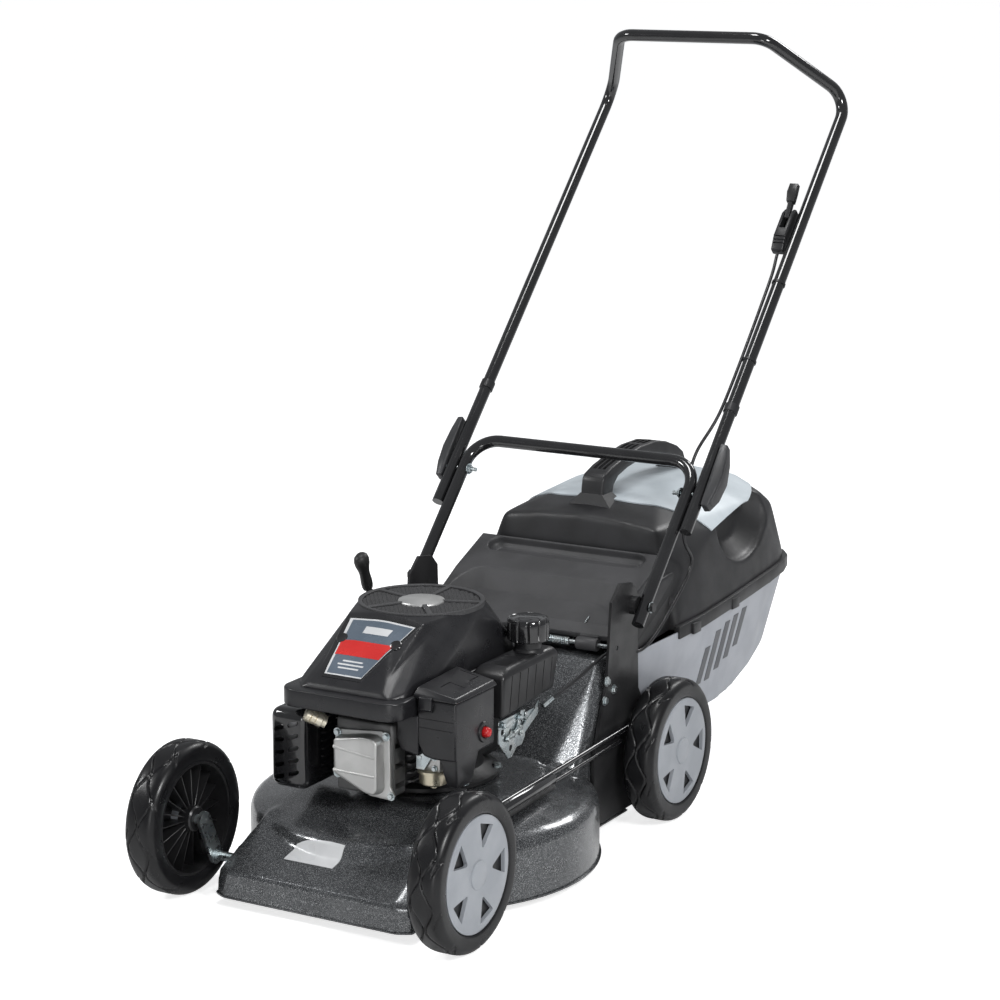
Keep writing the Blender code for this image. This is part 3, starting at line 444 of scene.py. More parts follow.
RIM_BLACK = surface("rim_black", (0.012, 0.012, 0.013), (0.020, 0.020, 0.021), (0.3, 0.42))
RUBBER = surface("tyre_rubber", (0.006, 0.006, 0.007), (0.010, 0.010, 0.011), (0.26, 0.38),
    grain=900, depth=0.00004, specular=0.38)
ZINC = surface("bright_zinc", (0.52, 0.58, 0.60), (0.66, 0.70, 0.70), (0.22, 0.38), metal=1.0,
    grain=500, depth=0.00003, drift=60)
CAST = surface("silver_casting", (0.56, 0.56, 0.55), (0.66, 0.66, 0.65), (0.36, 0.46), metal=0.85,
    grain=900, depth=0.00010)
DARK_CAST = surface("dark_casting", (0.10, 0.10, 0.10), (0.17, 0.17, 0.17), (0.42, 0.56),
    metal=0.8, grain=700, depth=0.0002)
BOWL_METAL = surface("bowl_metal", (0.66, 0.60, 0.46), (0.74, 0.69, 0.56), (0.25, 0.36), metal=0.9)
PLUG_METAL = surface("plug_metal", (0.70, 0.62, 0.46), (0.80, 0.75, 0.62), (0.3, 0.42), metal=0.7)
STEEL = surface("blade_steel", (0.34, 0.34, 0.35), (0.44, 0.44, 0.45), (0.3, 0.46), metal=1.0)
RED = surface("primer_red", (0.55, 0.010, 0.012), (0.62, 0.014, 0.016), (0.2, 0.3), coat=0.4)
ENGINE_BLACK = surface("engine_black_paint", (0.014, 0.014, 0.015), (0.024, 0.024, 0.025),
    (0.3, 0.44), grain=420, depth=0.00012)
GRIP_RUBBER = surface("grip_rubber", (0.012, 0.012, 0.012), (0.018, 0.018, 0.018), (0.4, 0.5),
    grain=900, depth=0.0001)
FOAM = surface("filter_foam", (0.05, 0.05, 0.05), (0.09, 0.09, 0.09), (0.9, 1.0), grain=600,
    depth=0.001)
LABEL_SLATE = surface("label_slate", (0.095, 0.125, 0.16), (0.12, 0.15, 0.19), (0.22, 0.3),
    coat=0.3)
LABEL_RED = surface("label_red", (0.60, 0.020, 0.018), (0.66, 0.026, 0.022), (0.22, 0.3), coat=0.3)
LABEL_WHITE = surface("label_white", (0.62, 0.63, 0.64), (0.70, 0.71, 0.72), (0.25, 0.35))

CARRIED = {"side_plate_l": ENGINE_BLACK, "side_plate_r": ENGINE_BLACK, "engine_block": DARK_CAST,
    "muffler": STEEL, "flywheel_fan": CAST, "crankshaft": STEEL, "blade_disc": STEEL,
    "flap_rod": ZINC, "air_filter_element": FOAM, "front_axle": ZINC, "rear_axle": ZINC,
    "height_link": ZINC, "height_lever": GLOSS_BLACK, "throttle_arm": ZINC,
    "cylinder_head": DARK_CAST, "carburettor": CAST, "throttle_plate": ZINC,
    "starter_grip": TANK_BLACK, "flap_spring": ZINC, "fan_grille": COWL_BLACK,
    "swing_blade_1": STEEL, "swing_blade_2": STEEL, "swing_blade_3": STEEL,
    "swing_blade_4": STEEL, }
for node_name, material in CARRIED.items():
    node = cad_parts[node_name]
    node.data.materials.clear()
    node.data.materials.append(material)

# ---------------------------------------------------------------- deck
LOW = LIP_Z - 0.03


def pressed_deck():
    skirt = [(0, LOW), (CHAMBER_R, LOW), (CHAMBER_R, 0.083), (CHAMBER_R - 0.004, 0.093),
        (CHAMBER_R - 0.014, 0.0995), (0.178, 0.113), (0.172, 0.1165), (0.150, 0.1245), (0, 0.1245)]
    deck = stand(turn("deck_pressing", skirt, 96), at(0, SHAFT_AHEAD, 0), (0, 0, 1))
    apron = wrap("apron", both_sides([at(0.152, -0.308, LOW), at(0.132, -0.320, LOW), at(0.146,
        -0.306, 0.046), at(0.126, -0.316, 0.049), at(0.128, -0.215, 0.104), at(0.118, -0.190,
        0.106), at(0.118, -0.120, 0.106), at(0.152, -0.180, LOW), at(0.118, -0.120, LOW)]))
    far = TUNNEL_END + 0.03
    tunnel = wrap("tunnel", both_sides([at(0.158, 0.10, LOW), at(0.158, far, LOW), at(0.158, far,
        0.225), at(0.140, far, 0.250), at(0.158, 0.190, 0.215), at(0.140, 0.190, 0.246), at(0.158,
        0.10, 0.112), at(0.128, 0.085, 0.126)]))
    carve(deck, apron, "UNION")
    carve(deck, tunnel, "UNION")
    soften(deck, 0.0042, 3)
    edit(deck)
    foot = LIP_Z + 0.001
    trim(at(0, 0, foot), (0, 0, -1))
    trim(at(0, TUNNEL_END, 0), (0, 1, 0))
    done()
    edit(deck, "DESELECT")
    done()
    for edge in deck.data.edges:
        ends = [deck.data.vertices[i].co for i in edge.vertices]
        edge.select = all(abs(end.z - foot) < 2e-4 for end in ends)
    bpy.ops.object.mode_set(mode="EDIT")
    bpy.ops.mesh.select_mode(type="EDGE")
    bpy.ops.mesh.extrude_region_move(TRANSFORM_OT_translate={"value": (0, 0, -0.0006)})
    bpy.ops.transform.resize(value=(1.013, 1.006, 1), center_override=at(0, SHAFT_AHEAD, foot))
    bpy.ops.mesh.select_mode(type="VERT")
    done()
    modify(deck, "SOLIDIFY", thickness=SHEET, offset=-1)
    edit(deck)
    bpy.ops.mesh.normals_make_consistent(inside=False)
    done()
    return shade(deck, 60)


deck = pressed_deck()
finish(deck, "chassis", DECK_ENAMEL, "deck_shell")

# ---------------------------------------------------------------- wheels
TREAD_ROWS = 40
WAVES = 9
GROOVE_HALF = 0.0013
GROOVE_DEEP = 0.0019


def tyre():
    rows = [(RIM_R + 0.0003, 0.002), (RIM_R + 0.0003, WHEEL_W - 0.002), (RIM_R + 0.003, WHEEL_W),
        (WHEEL_R - 0.012, WHEEL_W)]
    for i in range(TREAD_ROWS + 1):
        share = i / TREAD_ROWS
        round_off = abs(2 * share - 1) ** 5 * 0.0085
        rows.append((WHEEL_R - round_off, WHEEL_W * (1 - share)))
    rows += [(WHEEL_R - 0.012, 0), (RIM_R + 0.004, 0), (RIM_R + 0.002, 0.0006)]
    piece = turn("tyre", rows, 320)
    for vert in piece.data.vertices:
        spot = vert.co
        radius = math.hypot(spot.x, spot.y)
        if radius < WHEEL_R - 0.0095:
            continue
        angle = math.atan2(spot.y, spot.x)
        share = spot.z / WHEEL_W
        wave = math.sin(WAVES * angle)
        lag = math.sin(WAVES * angle + 2.4)
        cuts = (abs(share - 0.33 - 0.15 * wave), abs(share - 0.68 - 0.14 * lag))
        deep = max(0.0, 1 - (min(cuts) * WHEEL_W / GROOVE_HALF) ** 4) * GROOVE_DEEP
        edge = min(share, 1 - share)
        hook = abs(math.sin(WAVES * angle * 0.5 + (0.9 if share < 0.5 else 0.0) + edge * 5))
        if edge < 0.20 and hook < 0.13:
            deep = max(deep, GROOVE_DEEP * 0.8)
        spot.x *= (radius - deep) / radius
        spot.y *= (radius - deep) / radius
    piece.data.update()
    return piece


def rim():
    """A dished black wheel body with thin spokes on its inner side."""
    shell = turn("rim", [(0.0068, 0.008), (0.0068, WHEEL_W - 0.001), (0.015, WHEEL_W - 0.001),
        (0.017, WHEEL_W - 0.003), (0.017, 0.016), (0.030, 0.014), (RIM_R - 0.004, 0.012),
        (RIM_R - 0.004, WHEEL_W - 0.003), (RIM_R, WHEEL_W - 0.003), (RIM_R, 0.006),
        (RIM_R - 0.004, 0.006), (0.020, 0.008)], 96)
    spokes = [shell]
    for i in range(18):
        spoke = block("spoke", (0.015, -0.0008, 0.013), (RIM_R - 0.003, 0.0008, 0.030), 0.0004, 1)
        sink = 0.010
        for vert in spoke.data.vertices:
            if vert.co.z > 0.02:
                vert.co.z += (1 - vert.co.x / RIM_R) * 0.012 - sink * 0.3
        spoke.data.transform(Matrix.Rotation(2 * math.pi * i / 18, 4, "Z"))
        spokes.append(spoke)
    return together("rim", spokes)


def wheel_cap():
    """A pale disc with five wedge pockets and a round boss."""
    cap = turn("cap", [(0, 0.0262), (0.017, 0.0262), (0.019, 0.0062), (RIM_R - 0.002, 0.0050),
        (RIM_R - 0.001, 0.0035), (RIM_R - 0.001, 0.0012), (RIM_R - 0.0035, 0.0002),
        (RIM_R - 0.006, 0.0), (0.030, 0.0003), (0.0185, 0.0008), (0.0180, -0.0010),
        (0.0165, -0.0016), (0, -0.0018)], 96)
    for i in range(5):
        corners = []
        for reach, half in ((0.034, 0.0016), (0.0635, 0.0172)):
            for sign in (-1, 1):
                corners.append(Vector((reach, half * sign, -0.004)))
                corners.append(Vector((reach - 0.001, half * 0.80 * sign, 0.018)))
        wedge = wrap("wedge", corners)
        bevel(wedge, 0.0018, 3)
        wedge.data.transform(Matrix.Rotation(2 * math.pi * (i + 2.5) / 5, 4, "Z"))
        carve(cap, wedge)
    return cap


def copy_of(piece, name):
    twin = piece.copy()
    twin.data = piece.data.copy()
    twin.name = name
    bpy.context.scene.collection.objects.link(twin)
    return twin


wheel_parts = (("tyre", tyre(), RUBBER, 45), ("rim", rim(), RIM_BLACK, 35), ("wheel_cap",
    wheel_cap(), CAP_GREY, 30))
for place, out, y in (("front", FRONT_OUT, -WHEELBASE / 2), ("rear", REAR_OUT, WHEELBASE / 2)):
    for side, tag in ((1, "l"), (-1, "r")):
        for kind, master, material, degrees in wheel_parts:
            node_name = "%s_%s_%s" % (kind, place, tag)
            piece = copy_of(master, "fine_" + node_name)
            stand(piece, at(side * out, y, WHEEL_R), (-side, 0, 0))
            shade(piece, degrees)
            finish(piece, "wheel_%s_%s" % (place, tag), material, node_name)
for kind, master, material, degrees in wheel_parts:
    bpy.data.objects.remove(master)

# ---------------------------------------------------------------- handles
crossbar = 0.240
TOP_BAR_Z = 1.0692
low_path = rounded([on_leg(LEG_X, -0.030), on_leg(LEG_X, crossbar), on_leg(-LEG_X, crossbar),
    on_leg(-LEG_X, -0.030)], 0.042)
finish(pipe("lower_tube", low_path, TUBE_R), "lower_handle", GLOSS_BLACK, "lower_handle")
top_path = rounded([on_leg(UPPER_X, 0.125), on_leg(UPPER_X, 0.913), at(0.122, 0.748, TOP_BAR_Z),
    at(-0.122, 0.748, TOP_BAR_Z), on_leg(-UPPER_X, 0.913), on_leg(-UPPER_X, 0.125)], 0.035)
finish(pipe("upper_tube", top_path, TUBE_R), "upper_handle", GLOSS_BLACK, "upper_handle")

CAM_ALONG = 0.187


def cam_outline(side, face, inner, outer, grow):
    """Places round a bowed cam lever, between two depths from the tube."""
    outline = []
    for along, lift, half in ((-0.018, -0.003, 0.010), (0.004, -0.006, 0.0155), (0.032, -0.006,
            0.0160), (0.060, -0.002, 0.0130), (0.082, 0.004, 0.0085)):
        reach = 0.032 + (along - 0.032) * (1 if grow == 1 else 0.86)
        bow = 0.0065 * math.sin(math.pi * (reach + 0.018) / 0.1)
        for across in (inner, outer):
            for way in (-1, 1):
                outline.append(on_leg(side * (face + across + bow), CAM_ALONG + reach,
                    lift + way * (half * grow - across * 0.25)))
    return outline


for side, tag in ((1, "l"), (-1, "r")):
    bolt = pipe("bolt", [on_leg(side * (LEG_X - 0.022), CAM_ALONG),
        on_leg(side * (UPPER_X + 0.010), CAM_ALONG)], 0.003)
    nut = hex_bolt("nut", on_leg(side * (LEG_X - TUBE_R - 0.0003), CAM_ALONG), (-side, 0, 0),
        0.0062, 0.005)
    hardware = together("cam_bolt_" + tag, [bolt, nut])
    finish(hardware, "cam_lever_" + tag, ZINC, slot="cam_lever_" + tag)
    face = UPPER_X + TUBE_R + 0.0012
    lever = wrap("cam_lever_cover_" + tag, cam_outline(side, face, 0.0, 0.010, 1.0))
    bevel(lever, 0.0024, 3)
    finish(shade(lever), "cam_lever_" + tag, LEVER_GREY, "cam_lever_" + tag)
    pad = wrap("cam_lever_pad_" + tag, cam_outline(side, face, 0.0085, 0.0112, 0.74))
    bevel(pad, 0.0009, 2)
    finish(shade(pad), "cam_lever_" + tag, FLAP_GREY, slot="cam_lever_" + tag)
    collar = stand(turn("tube_collar", [(TUBE_R + 0.0001, -0.007), (TUBE_R + 0.0001, 0.007),
        (TUBE_R + 0.0016, 0.0065), (TUBE_R + 0.0016, -0.0065)], 40), on_leg(side * UPPER_X,
        0.335), on_leg(0, 1) - on_leg(0, 0))
    finish(shade(collar, 35), "upper_handle", TANK_BLACK, slot="upper_handle")
    pivot = hex_bolt("handle_nut_" + tag, at(side * (LEG_X + TUBE_R + 0.0008), PIVOT_Y, PIVOT_Z),
        (side, 0, 0), 0.0058, 0.0045)
    finish(pivot, "chassis", ZINC, slot="side_plate_" + tag)
    for n, (y, z) in enumerate(((0.176, 0.222), (0.170, 0.196), (0.196, 0.206))):
        if (tag, n) == ("r", 1):  # the height lever swings past here
            continue
        stud = hex_bolt("plate_nut_%s_%d" % (tag, n), at(side * 0.1646, y, z), (side, 0, 0),
            0.0052, 0.0045)
        finish(stud, "chassis", ZINC, slot="side_plate_" + tag)

# ---------------------------------------------------------------- flat stock
def outlined(name, outline, axis, low, high, edge=0.0, segments=3):
    """A flat outline drawn square to an axis and pulled up along it."""
    spots = []
    for a, b in outline:
        spots.append({"X": at(low, a, b), "Y": at(a, low, b), "Z": at(a, b, low)}[axis])
    piece = from_spots(name, spots, [list(range(len(spots)))])
    edit(piece)
    pull = {"X": (high - low, 0, 0), "Y": (0, high - low, 0), "Z": (0, 0, high - low)}[axis]
    bpy.ops.mesh.extrude_region_move(TRANSFORM_OT_translate={"value": pull})
    bpy.ops.mesh.select_all(action="SELECT")
    bpy.ops.mesh.normals_make_consistent(inside=False)
    done()
    if edge:
        bevel(piece, edge, segments, angle_limit=math.radians(28))
    return shade(piece)


def slot_outline(a0, b0, a1, b1, radius, steps=6):
    """A rectangle with round corners."""
    outline = []
    corners = ((a1 - radius, b0 + radius, -90), (a1 - radius, b1 - radius, 0), (a0 + radius,
        b1 - radius, 90), (a0 + radius, b0 + radius, 180))
    for a, b, start in corners:
        for i in range(steps + 1):
            turn_by = math.radians(start + 90 * i / steps)
            outline.append((a + radius * math.cos(turn_by), b + radius * math.sin(turn_by)))
    return outline


def brick(name, low, high, edge=0.0, segments=3):
    """A block placed from the middle of the wheelbase."""
    return block(name, at(*low), at(*high), edge, segments)


def grid_of(name, spots, rows, cols):
    """A field of small faces over rows and columns of places."""
    step = cols + 1
    faces = [(j * step + i, j * step + i + 1, (j + 1) * step + i + 1, (j + 1) * step + i)
        for j in range(rows) for i in range(cols)]
    return from_spots(name, spots, faces)


def patch(name, corners, across, along):
    """A flat four-sided field of small faces."""
    first, second, third, fourth = [at(*corner) for corner in corners]
    spots = []
    for j in range(along + 1):
        left = first.lerp(fourth, j / along)
        right = second.lerp(third, j / along)
        spots += [left.lerp(right, i / across) for i in range(across + 1)]
    return grid_of(name, spots, along, across)


def lay_on(piece, target, way, lift, thick):
    """Press a field of faces onto a surface and give it a thickness."""
    way = Vector(way).normalized()
    for vert in piece.data.vertices:
        hit, spot, normal, _ = target.ray_cast(vert.co - way * 0.5, way)
        if hit:
            vert.co = spot - way * lift
    piece.data.update()
    first = piece.data.polygons[0]
    if first.normal.dot(way) > 0:
        edit(piece)
        bpy.ops.mesh.flip_normals()
        done()
    modify(piece, "SOLIDIFY", thickness=thick, offset=1)
    return shade(piece, 40)


def threaded(name, centre, axis, radius, length, pitch, wire):
    """A coil of wire round an axis."""
    lean = Vector(axis).normalized().to_track_quat("Z", "Y")
    steps = int(length / pitch * 14)
    path = []
    for i in range(steps + 1):
        angle = 2 * math.pi * i / 14
        spot = Vector((radius * math.cos(angle), radius * math.sin(angle), length * i / steps))
        path.append(Vector(centre) + lean @ spot)
    return pipe(name, path, wire, 2)


# ---------------------------------------------------------------- front badge
badge = patch("front_badge", ((-0.060, -0.283, 0.3), (0.014, -0.283, 0.3), (0.021, -0.262, 0.3),
    (-0.053, -0.262, 0.3)), 40, 12)
finish(lay_on(badge, deck, (0, 0, -1), 0.0002, 0.0008), "chassis", LABEL_WHITE, slot="deck_shell")

# ---------------------------------------------------------------- engine cowl
def cowl_shell():
    low = COWL_FOOT
    top = []
    for radius, z in ((0.0905, 0.348), (0.0890, 0.357), (0.0875, 0.3620), (0.0860, 0.3640)):
        for i in range(64):
            angle = 2 * math.pi * i / 64
            top.append(at(radius * math.cos(angle) * 0.95, FAN_Y + radius * math.sin(angle), z))
    flank = wrap("cowl_shell", both_sides([at(0.080, -0.212, low), at(0.066, -0.230, low),
        at(0.086, -0.160, low), at(0.086, 0.060, low), at(0.066, 0.090, low), at(0.079, -0.208,
        low + 0.006), at(0.056, -0.226, low + 0.006), at(0.085, 0.045, low + 0.028), at(0.081,
        -0.060, 0.345), at(0.075, -0.140, 0.316)]) + top)
    bib = wrap("bib", both_sides([at(0.058, -0.128, 0.3585), at(0.047, -0.2185, 0.2935), at(0.049,
        -0.2255, 0.2890), at(0.050, -0.2245, 0.2840), at(0.062, -0.120, 0.330)]) + top)
    carve(flank, bib, "UNION")
    soften(flank, 0.0016, 3)
    inner = wrap("inner", both_sides([at(0.076, -0.206, low - 0.02), at(0.062, -0.222,
        low - 0.02), at(0.082, -0.160, low - 0.02), at(0.082, 0.058, low - 0.02), at(0.062, 0.086,
        low - 0.02), at(0.045, -0.205, 0.288), at(0.040, -0.120, 0.344), at(0.078, 0.040, 0.305),
        at(0.060, -0.060, 0.3575), at(0.060, 0.010, 0.3575)]))
    carve(flank, inner)
    edit(flank)
    trim(at(0, 0, low + 0.0002), (0, 0, -1))
    done()
    opening = turned("opening", [(0, 0.32), (GRILLE_R, 0.32), (GRILLE_R, 0.40), (0, 0.40)],
        at(0, FAN_Y, 0), (0, 0, 1), 96)
    carve(flank, opening)
    return shade(flank, 35)


cowl = cowl_shell()
LABEL_BACK = (0.0005, -0.135, 0.050)
LABEL_FRONT = (-0.0128, -0.212, 0.028)


def label_corner(side, share, grow=1.0):
    """A place on the label's tapered field, from its back edge to its front."""
    middle = LABEL_BACK[0] * (1 - share) + LABEL_FRONT[0] * share
    x = middle + side * grow * (LABEL_BACK[2] * (1 - share) + LABEL_FRONT[2] * share)
    return (x, LABEL_BACK[1] * (1 - share) + LABEL_FRONT[1] * share, 0.40)


def label_band(name, top, bottom, lift, material, left=1.0, right=1.0, thick=0.0005):
    field = patch(name, (label_corner(-left, top), label_corner(right, top), label_corner(right,
        bottom), label_corner(-left, bottom)), 40, 30)
    lay_on(field, cowl, (0, 0, -1), lift, thick)
    return finish(field, "chassis", material, slot="engine_cowl")


label_band("label_frame", -0.04, 1.05, -0.0004, GLOSS_BLACK, 1.06, 1.06, 0.0009)
label_band("label_edge", 0.0, 1.0, 0.0000, LABEL_WHITE, 1.0, 0.98, 0.0007)
label_band("label_field", 0.03, 0.98, 0.0003, LABEL_SLATE, 0.90, 0.96, 0.0006)
label_band("label_stripe", 0.40, 0.66, 0.0006, LABEL_RED, 0.94, 0.94, 0.0006)
label_band("label_block", 0.14, 0.26, 0.0006, LABEL_WHITE, 0.36, 0.50, 0.0005)
for n, (start, end, half) in enumerate(((0.74, 0.765, 0.45), (0.80, 0.825, 0.60), (0.86, 0.885,
        0.5))):
    label_band("label_line_%d" % n, start, end, 0.0006, LABEL_WHITE, half, half, 0.0004)
for n, side in enumerate((-0.97, 0.97)):
    spot = label_corner(side, 0.36)
    hit, place, normal, _ = cowl.ray_cast(at(*spot), Vector((0, 0, -1)))
    well = turned("label_well_%d" % n, [(0, 0.0012), (0.0058, 0.0012), (0.0072, 0.0016),
        (0.0080, 0.0008), (0.0080, -0.002), (0, -0.002)], place, normal, 32)
    finish(well, "chassis", GLOSS_BLACK, slot="engine_cowl")
finish(cowl, "chassis", COWL_BLACK, "engine_cowl")

tray = outlined("cowl_tray", slot_outline(-0.092, -0.2465, 0.0885, 0.096, 0.024, 8), "Z", 0.2590,
    COWL_FOOT, 0.0022)
hollow = outlined("hollow", slot_outline(-0.0875, -0.242, 0.084, 0.0915, 0.020, 8), "Z", 0.25,
    COWL_FOOT - 0.003)
carve(tray, hollow)
finish(shade(tray), "chassis", COWL_BLACK, "cowl_base")


def grille():
    """An open lattice between spokes and a plain middle disc."""
    half = 0.086
    free()
    bpy.ops.mesh.primitive_grid_add(x_subdivisions=30, y_subdivisions=30, size=half * 2.1,
        location=(0, 0, 0))
    lattice = bpy.context.object
    lattice.data.transform(Matrix.Rotation(math.radians(45), 4, "Z"))
    lattice.data.transform(Matrix.Diagonal((0.80, 1.10, 1, 1)))
    edit(lattice, "DESELECT")
    done()
    for vert in lattice.data.vertices:
        vert.select = vert.co.length > GRILLE_R + 0.0015
    bpy.ops.object.mode_set(mode="EDIT")
    bpy.ops.mesh.delete(type="VERT")
    done()
    modify(lattice, "WIREFRAME", thickness=0.0023, use_even_offset=False, offset=0)
    lattice.data.transform(Matrix.Translation(at(0, FAN_Y, COWL_TOP - 0.0038)))
    bars = [lattice]
    for i in range(5):
        bar = block("spoke", (0.024, -0.0036, -0.0048), (GRILLE_R, 0.0036, -0.0006), 0.0012, 2)
        bar.data.transform(Matrix.Rotation(2 * math.pi * (i + 0.30) / 5, 4, "Z"))
        bar.data.transform(Matrix.Translation(at(0, FAN_Y, COWL_TOP)))
        bars.append(bar)
    bars.append(turned("ring", [(GRILLE_R - 0.0012, -0.006), (GRILLE_R - 0.0012, -0.0012),
        (GRILLE_R + 0.0010, 0.0), (GRILLE_R + 0.0045, -0.0004), (GRILLE_R + 0.0050, -0.006)],
        at(0, FAN_Y, COWL_TOP), (0, 0, 1), 96))
    return together("fan_lattice", bars)


# The lattice takes the lighter flap grey, not the cowl's black: a painted highlight for the light
# its bar tops catch.
finish(grille(), "chassis", FLAP_GREY, "fan_grille")
hub = turned("grille_disc", [(0, 0.0022), (0.026, 0.0012), (0.0305, 0.0002), (0.0315, -0.0012),
    (0.0315, -0.004), (0, -0.004)], at(0, FAN_Y, COWL_TOP - 0.0012), (0, 0, 1), 72)
finish(hub, "chassis", CAST, slot="fan_grille")

# ---------------------------------------------------------------- engine
sump = turned("sump", [(0, 0.1254), (0.098, 0.1254), (0.100, 0.1275), (0.100, 0.1325),
    (0.094, 0.1345), (0.080, 0.1420), (0.076, 0.150), (0.070, 0.215), (0.066, 0.2595),
    (0, 0.2595)], at(0, SHAFT_AHEAD, 0), (0, 0, 1), 72)
crankcase = brick("crankcase", (-0.062, -0.130, 0.140), (0.066, 0.060, 0.2590), 0.010, 4)
barrel = brick("barrel", (-0.050, -0.1715, 0.150), (0.054, -0.118, 0.2520), 0.006, 3)
carve(crankcase, barrel, "UNION")
carve(sump, crankcase, "UNION")
finish(shade(sump, 30), "chassis", ENGINE_BLACK, "engine_block")
fin = outlined("cooling_fin_0", slot_outline(-0.058, -0.166, 0.061, -0.122, 0.006, 4), "Z", 0.156,
    0.1582)
for n in range(1, 9):
    twin = copy_of(fin, "cooling_fin_%d" % n)
    twin.data.transform(Matrix.Translation((0, 0, 0.0115 * n)))
    finish(twin, "chassis", DARK_CAST, slot="engine_block")
finish(fin, "chassis", DARK_CAST, slot="engine_block")
for n, (x, y) in enumerate(((0.086, 0.010), (0.086, -0.078), (-0.086, 0.010), (-0.086, -0.078))):
    mount = hex_bolt("mount_bolt_%d" % n, at(x, y, 0.1335), (0, 0, 1), 0.006, 0.0055)
    finish(mount, "chassis", ZINC, slot="engine_block")


def nudge(piece):
    """Move a cylinder head piece across to its own centre line."""
    piece.data.transform(Matrix.Translation((0.005, 0, -0.001)))
    return piece


HEAD_MIDDLE = 0.0070
head = brick("head_casting", (-0.034, -0.2045, 0.146), (0.052, -0.1723, 0.2440), 0.004, 3)
for n in range(6):
    gap = brick("gap", (-0.05, -0.1985, 0.156 + 0.0135 * n), (0.07, -0.1765, 0.1635 + 0.0135 * n))
    if n % 2 == 0:
        carve(head, gap)
    else:
        bpy.data.objects.remove(gap)
flange = outlined("cover_flange", [(-0.033, 0.166), (0.020, 0.1455), (0.052, 0.1440),
    (0.0565, 0.150), (0.0500, 0.162), (0.0500, 0.228), (0.038, 0.2350), (-0.033, 0.2280)], "Y",
    -0.2088, -0.2043, 0.0012, 2)
finish(nudge(flange), "chassis", CAST, slot="rocker_cover")
finish(nudge(shade(head)), "chassis", DARK_CAST, "cylinder_head")
cover = outlined("valve_cover", [(-0.0280, 0.1730), (0.0240, 0.1510), (0.0360, 0.1500),
    (0.0420, 0.1570), (0.0420, 0.2230), (0.0340, 0.2300), (0.0180, 0.2300), (-0.0280, 0.2215)],
    "Y", -0.2378, -0.2086)
for vert in cover.data.vertices:
    if vert.co.y < at(0, -0.23, 0).y:
        vert.co.x = HEAD_MIDDLE + (vert.co.x - HEAD_MIDDLE) * 0.93
        vert.co.z = 0.190 + (vert.co.z - 0.190) * 0.93
bevel(cover, 0.0035, 4, angle_limit=math.radians(28))
ridges = [wrap("ridge", [at(x, y, z + half * way) for x, z in ((-0.026, left), (0.036, right))
    for y, half in ((-0.2392, 0.00075), (-0.236, 0.00275)) for way in (-1, 1)]) for left,
    right in ((0.20925, 0.20225), (0.17825, 0.17725))]
cover = nudge(together("valve_cover", [shade(cover)] + ridges))
cover_back = at(0, -0.2086, 0).y
for vert in cover.data.vertices:
    if vert.co.y < cover_back:
        vert.co.y = cover_back + (vert.co.y - cover_back) * 0.55
finish(cover, "chassis", CAST, "rocker_cover")
for n, (x, z) in enumerate(((0.0520, 0.1505), (-0.0290, 0.1690), (0.0455, 0.2290), (-0.0285,
        0.2245))):
    screw = hex_bolt("cover_bolt_%d" % n, at(x, -0.2090, z), (0, -1, 0), 0.0042, 0.0042)
    finish(nudge(screw), "chassis", ZINC, slot="rocker_cover")


def heat_guard():
    """A pressed perforated box round the muffler, rows of slots in its sides."""
    guard = brick("heat_guard", (-0.1225, -0.2225, 0.1380), (-0.0655, -0.105, 0.2460), 0.013, 5)
    inside = brick("inside", (-0.1210, -0.2210, 0.1395), (-0.0670, -0.08, 0.2445), 0.0115, 5)
    carve(guard, inside)
    holes = []
    for row in range(5):
        low = 0.1545 + row * 0.0165
        for col in range(2):
            left = -0.1150 + col * 0.0225
            hole = outlined("hole", slot_outline(left, low, left + 0.0165, low + 0.0062, 0.0030,
                4), "Y", -0.24, -0.215)
            for vert in hole.data.vertices:
                vert.co.z += (vert.co.x + 0.095) * 0.34
            holes.append(hole)
        for col in range(3):
            left = -0.2070 + col * 0.0290
            hole = outlined("hole", slot_outline(left, low, left + 0.0200, low + 0.0062, 0.0030,
                4), "X", -0.135, -0.115)
            for vert in hole.data.vertices:
                vert.co.z -= (vert.co.y - at(0, -0.165, 0).y) * 0.34
            holes.append(hole)
    for col in range(3):
        left = -0.2040 + col * 0.0290
        holes.append(outlined("hole", slot_outline(-0.112, left, -0.078, left + 0.0070, 0.0034,
            4), "Z", 0.24, 0.25))
    carve(guard, together("holes", holes))
    return shade(guard, 35)


finish(heat_guard(), "chassis", GLOSS_BLACK, "muffler_guard")
PLUG_WAY = Vector((0.62, 0.40, -0.35)).normalized()
plug_foot = at(-0.046, -0.2115, 0.236)
plug = turned("plug_cap", [(0, -0.024), (0.0070, -0.024), (0.0095, -0.0215), (0.0098, -0.016),
    (0.0090, -0.0152), (0.0098, -0.0144), (0.0098, -0.009), (0.0090, -0.0082), (0.0098, -0.0074),
    (0.0100, 0.000), (0.0085, 0.001), (0.0085, 0.006), (0, 0.006)], plug_foot, PLUG_WAY, 32)
finish(plug, "chassis", PLUG_METAL, "spark_plug")
muffler = brick("muffler_can", (-0.1145, -0.2050, 0.1465), (-0.0745, -0.1005, 0.2355), 0.010, 4)
seam = outlined("seam", slot_outline(-0.1175, 0.1440, -0.0715, 0.2385, 0.011, 6), "Y", -0.156,
    -0.1535, 0.0008, 1)
finish(together("muffler_can", [muffler, seam]), "chassis", STEEL, "muffler")

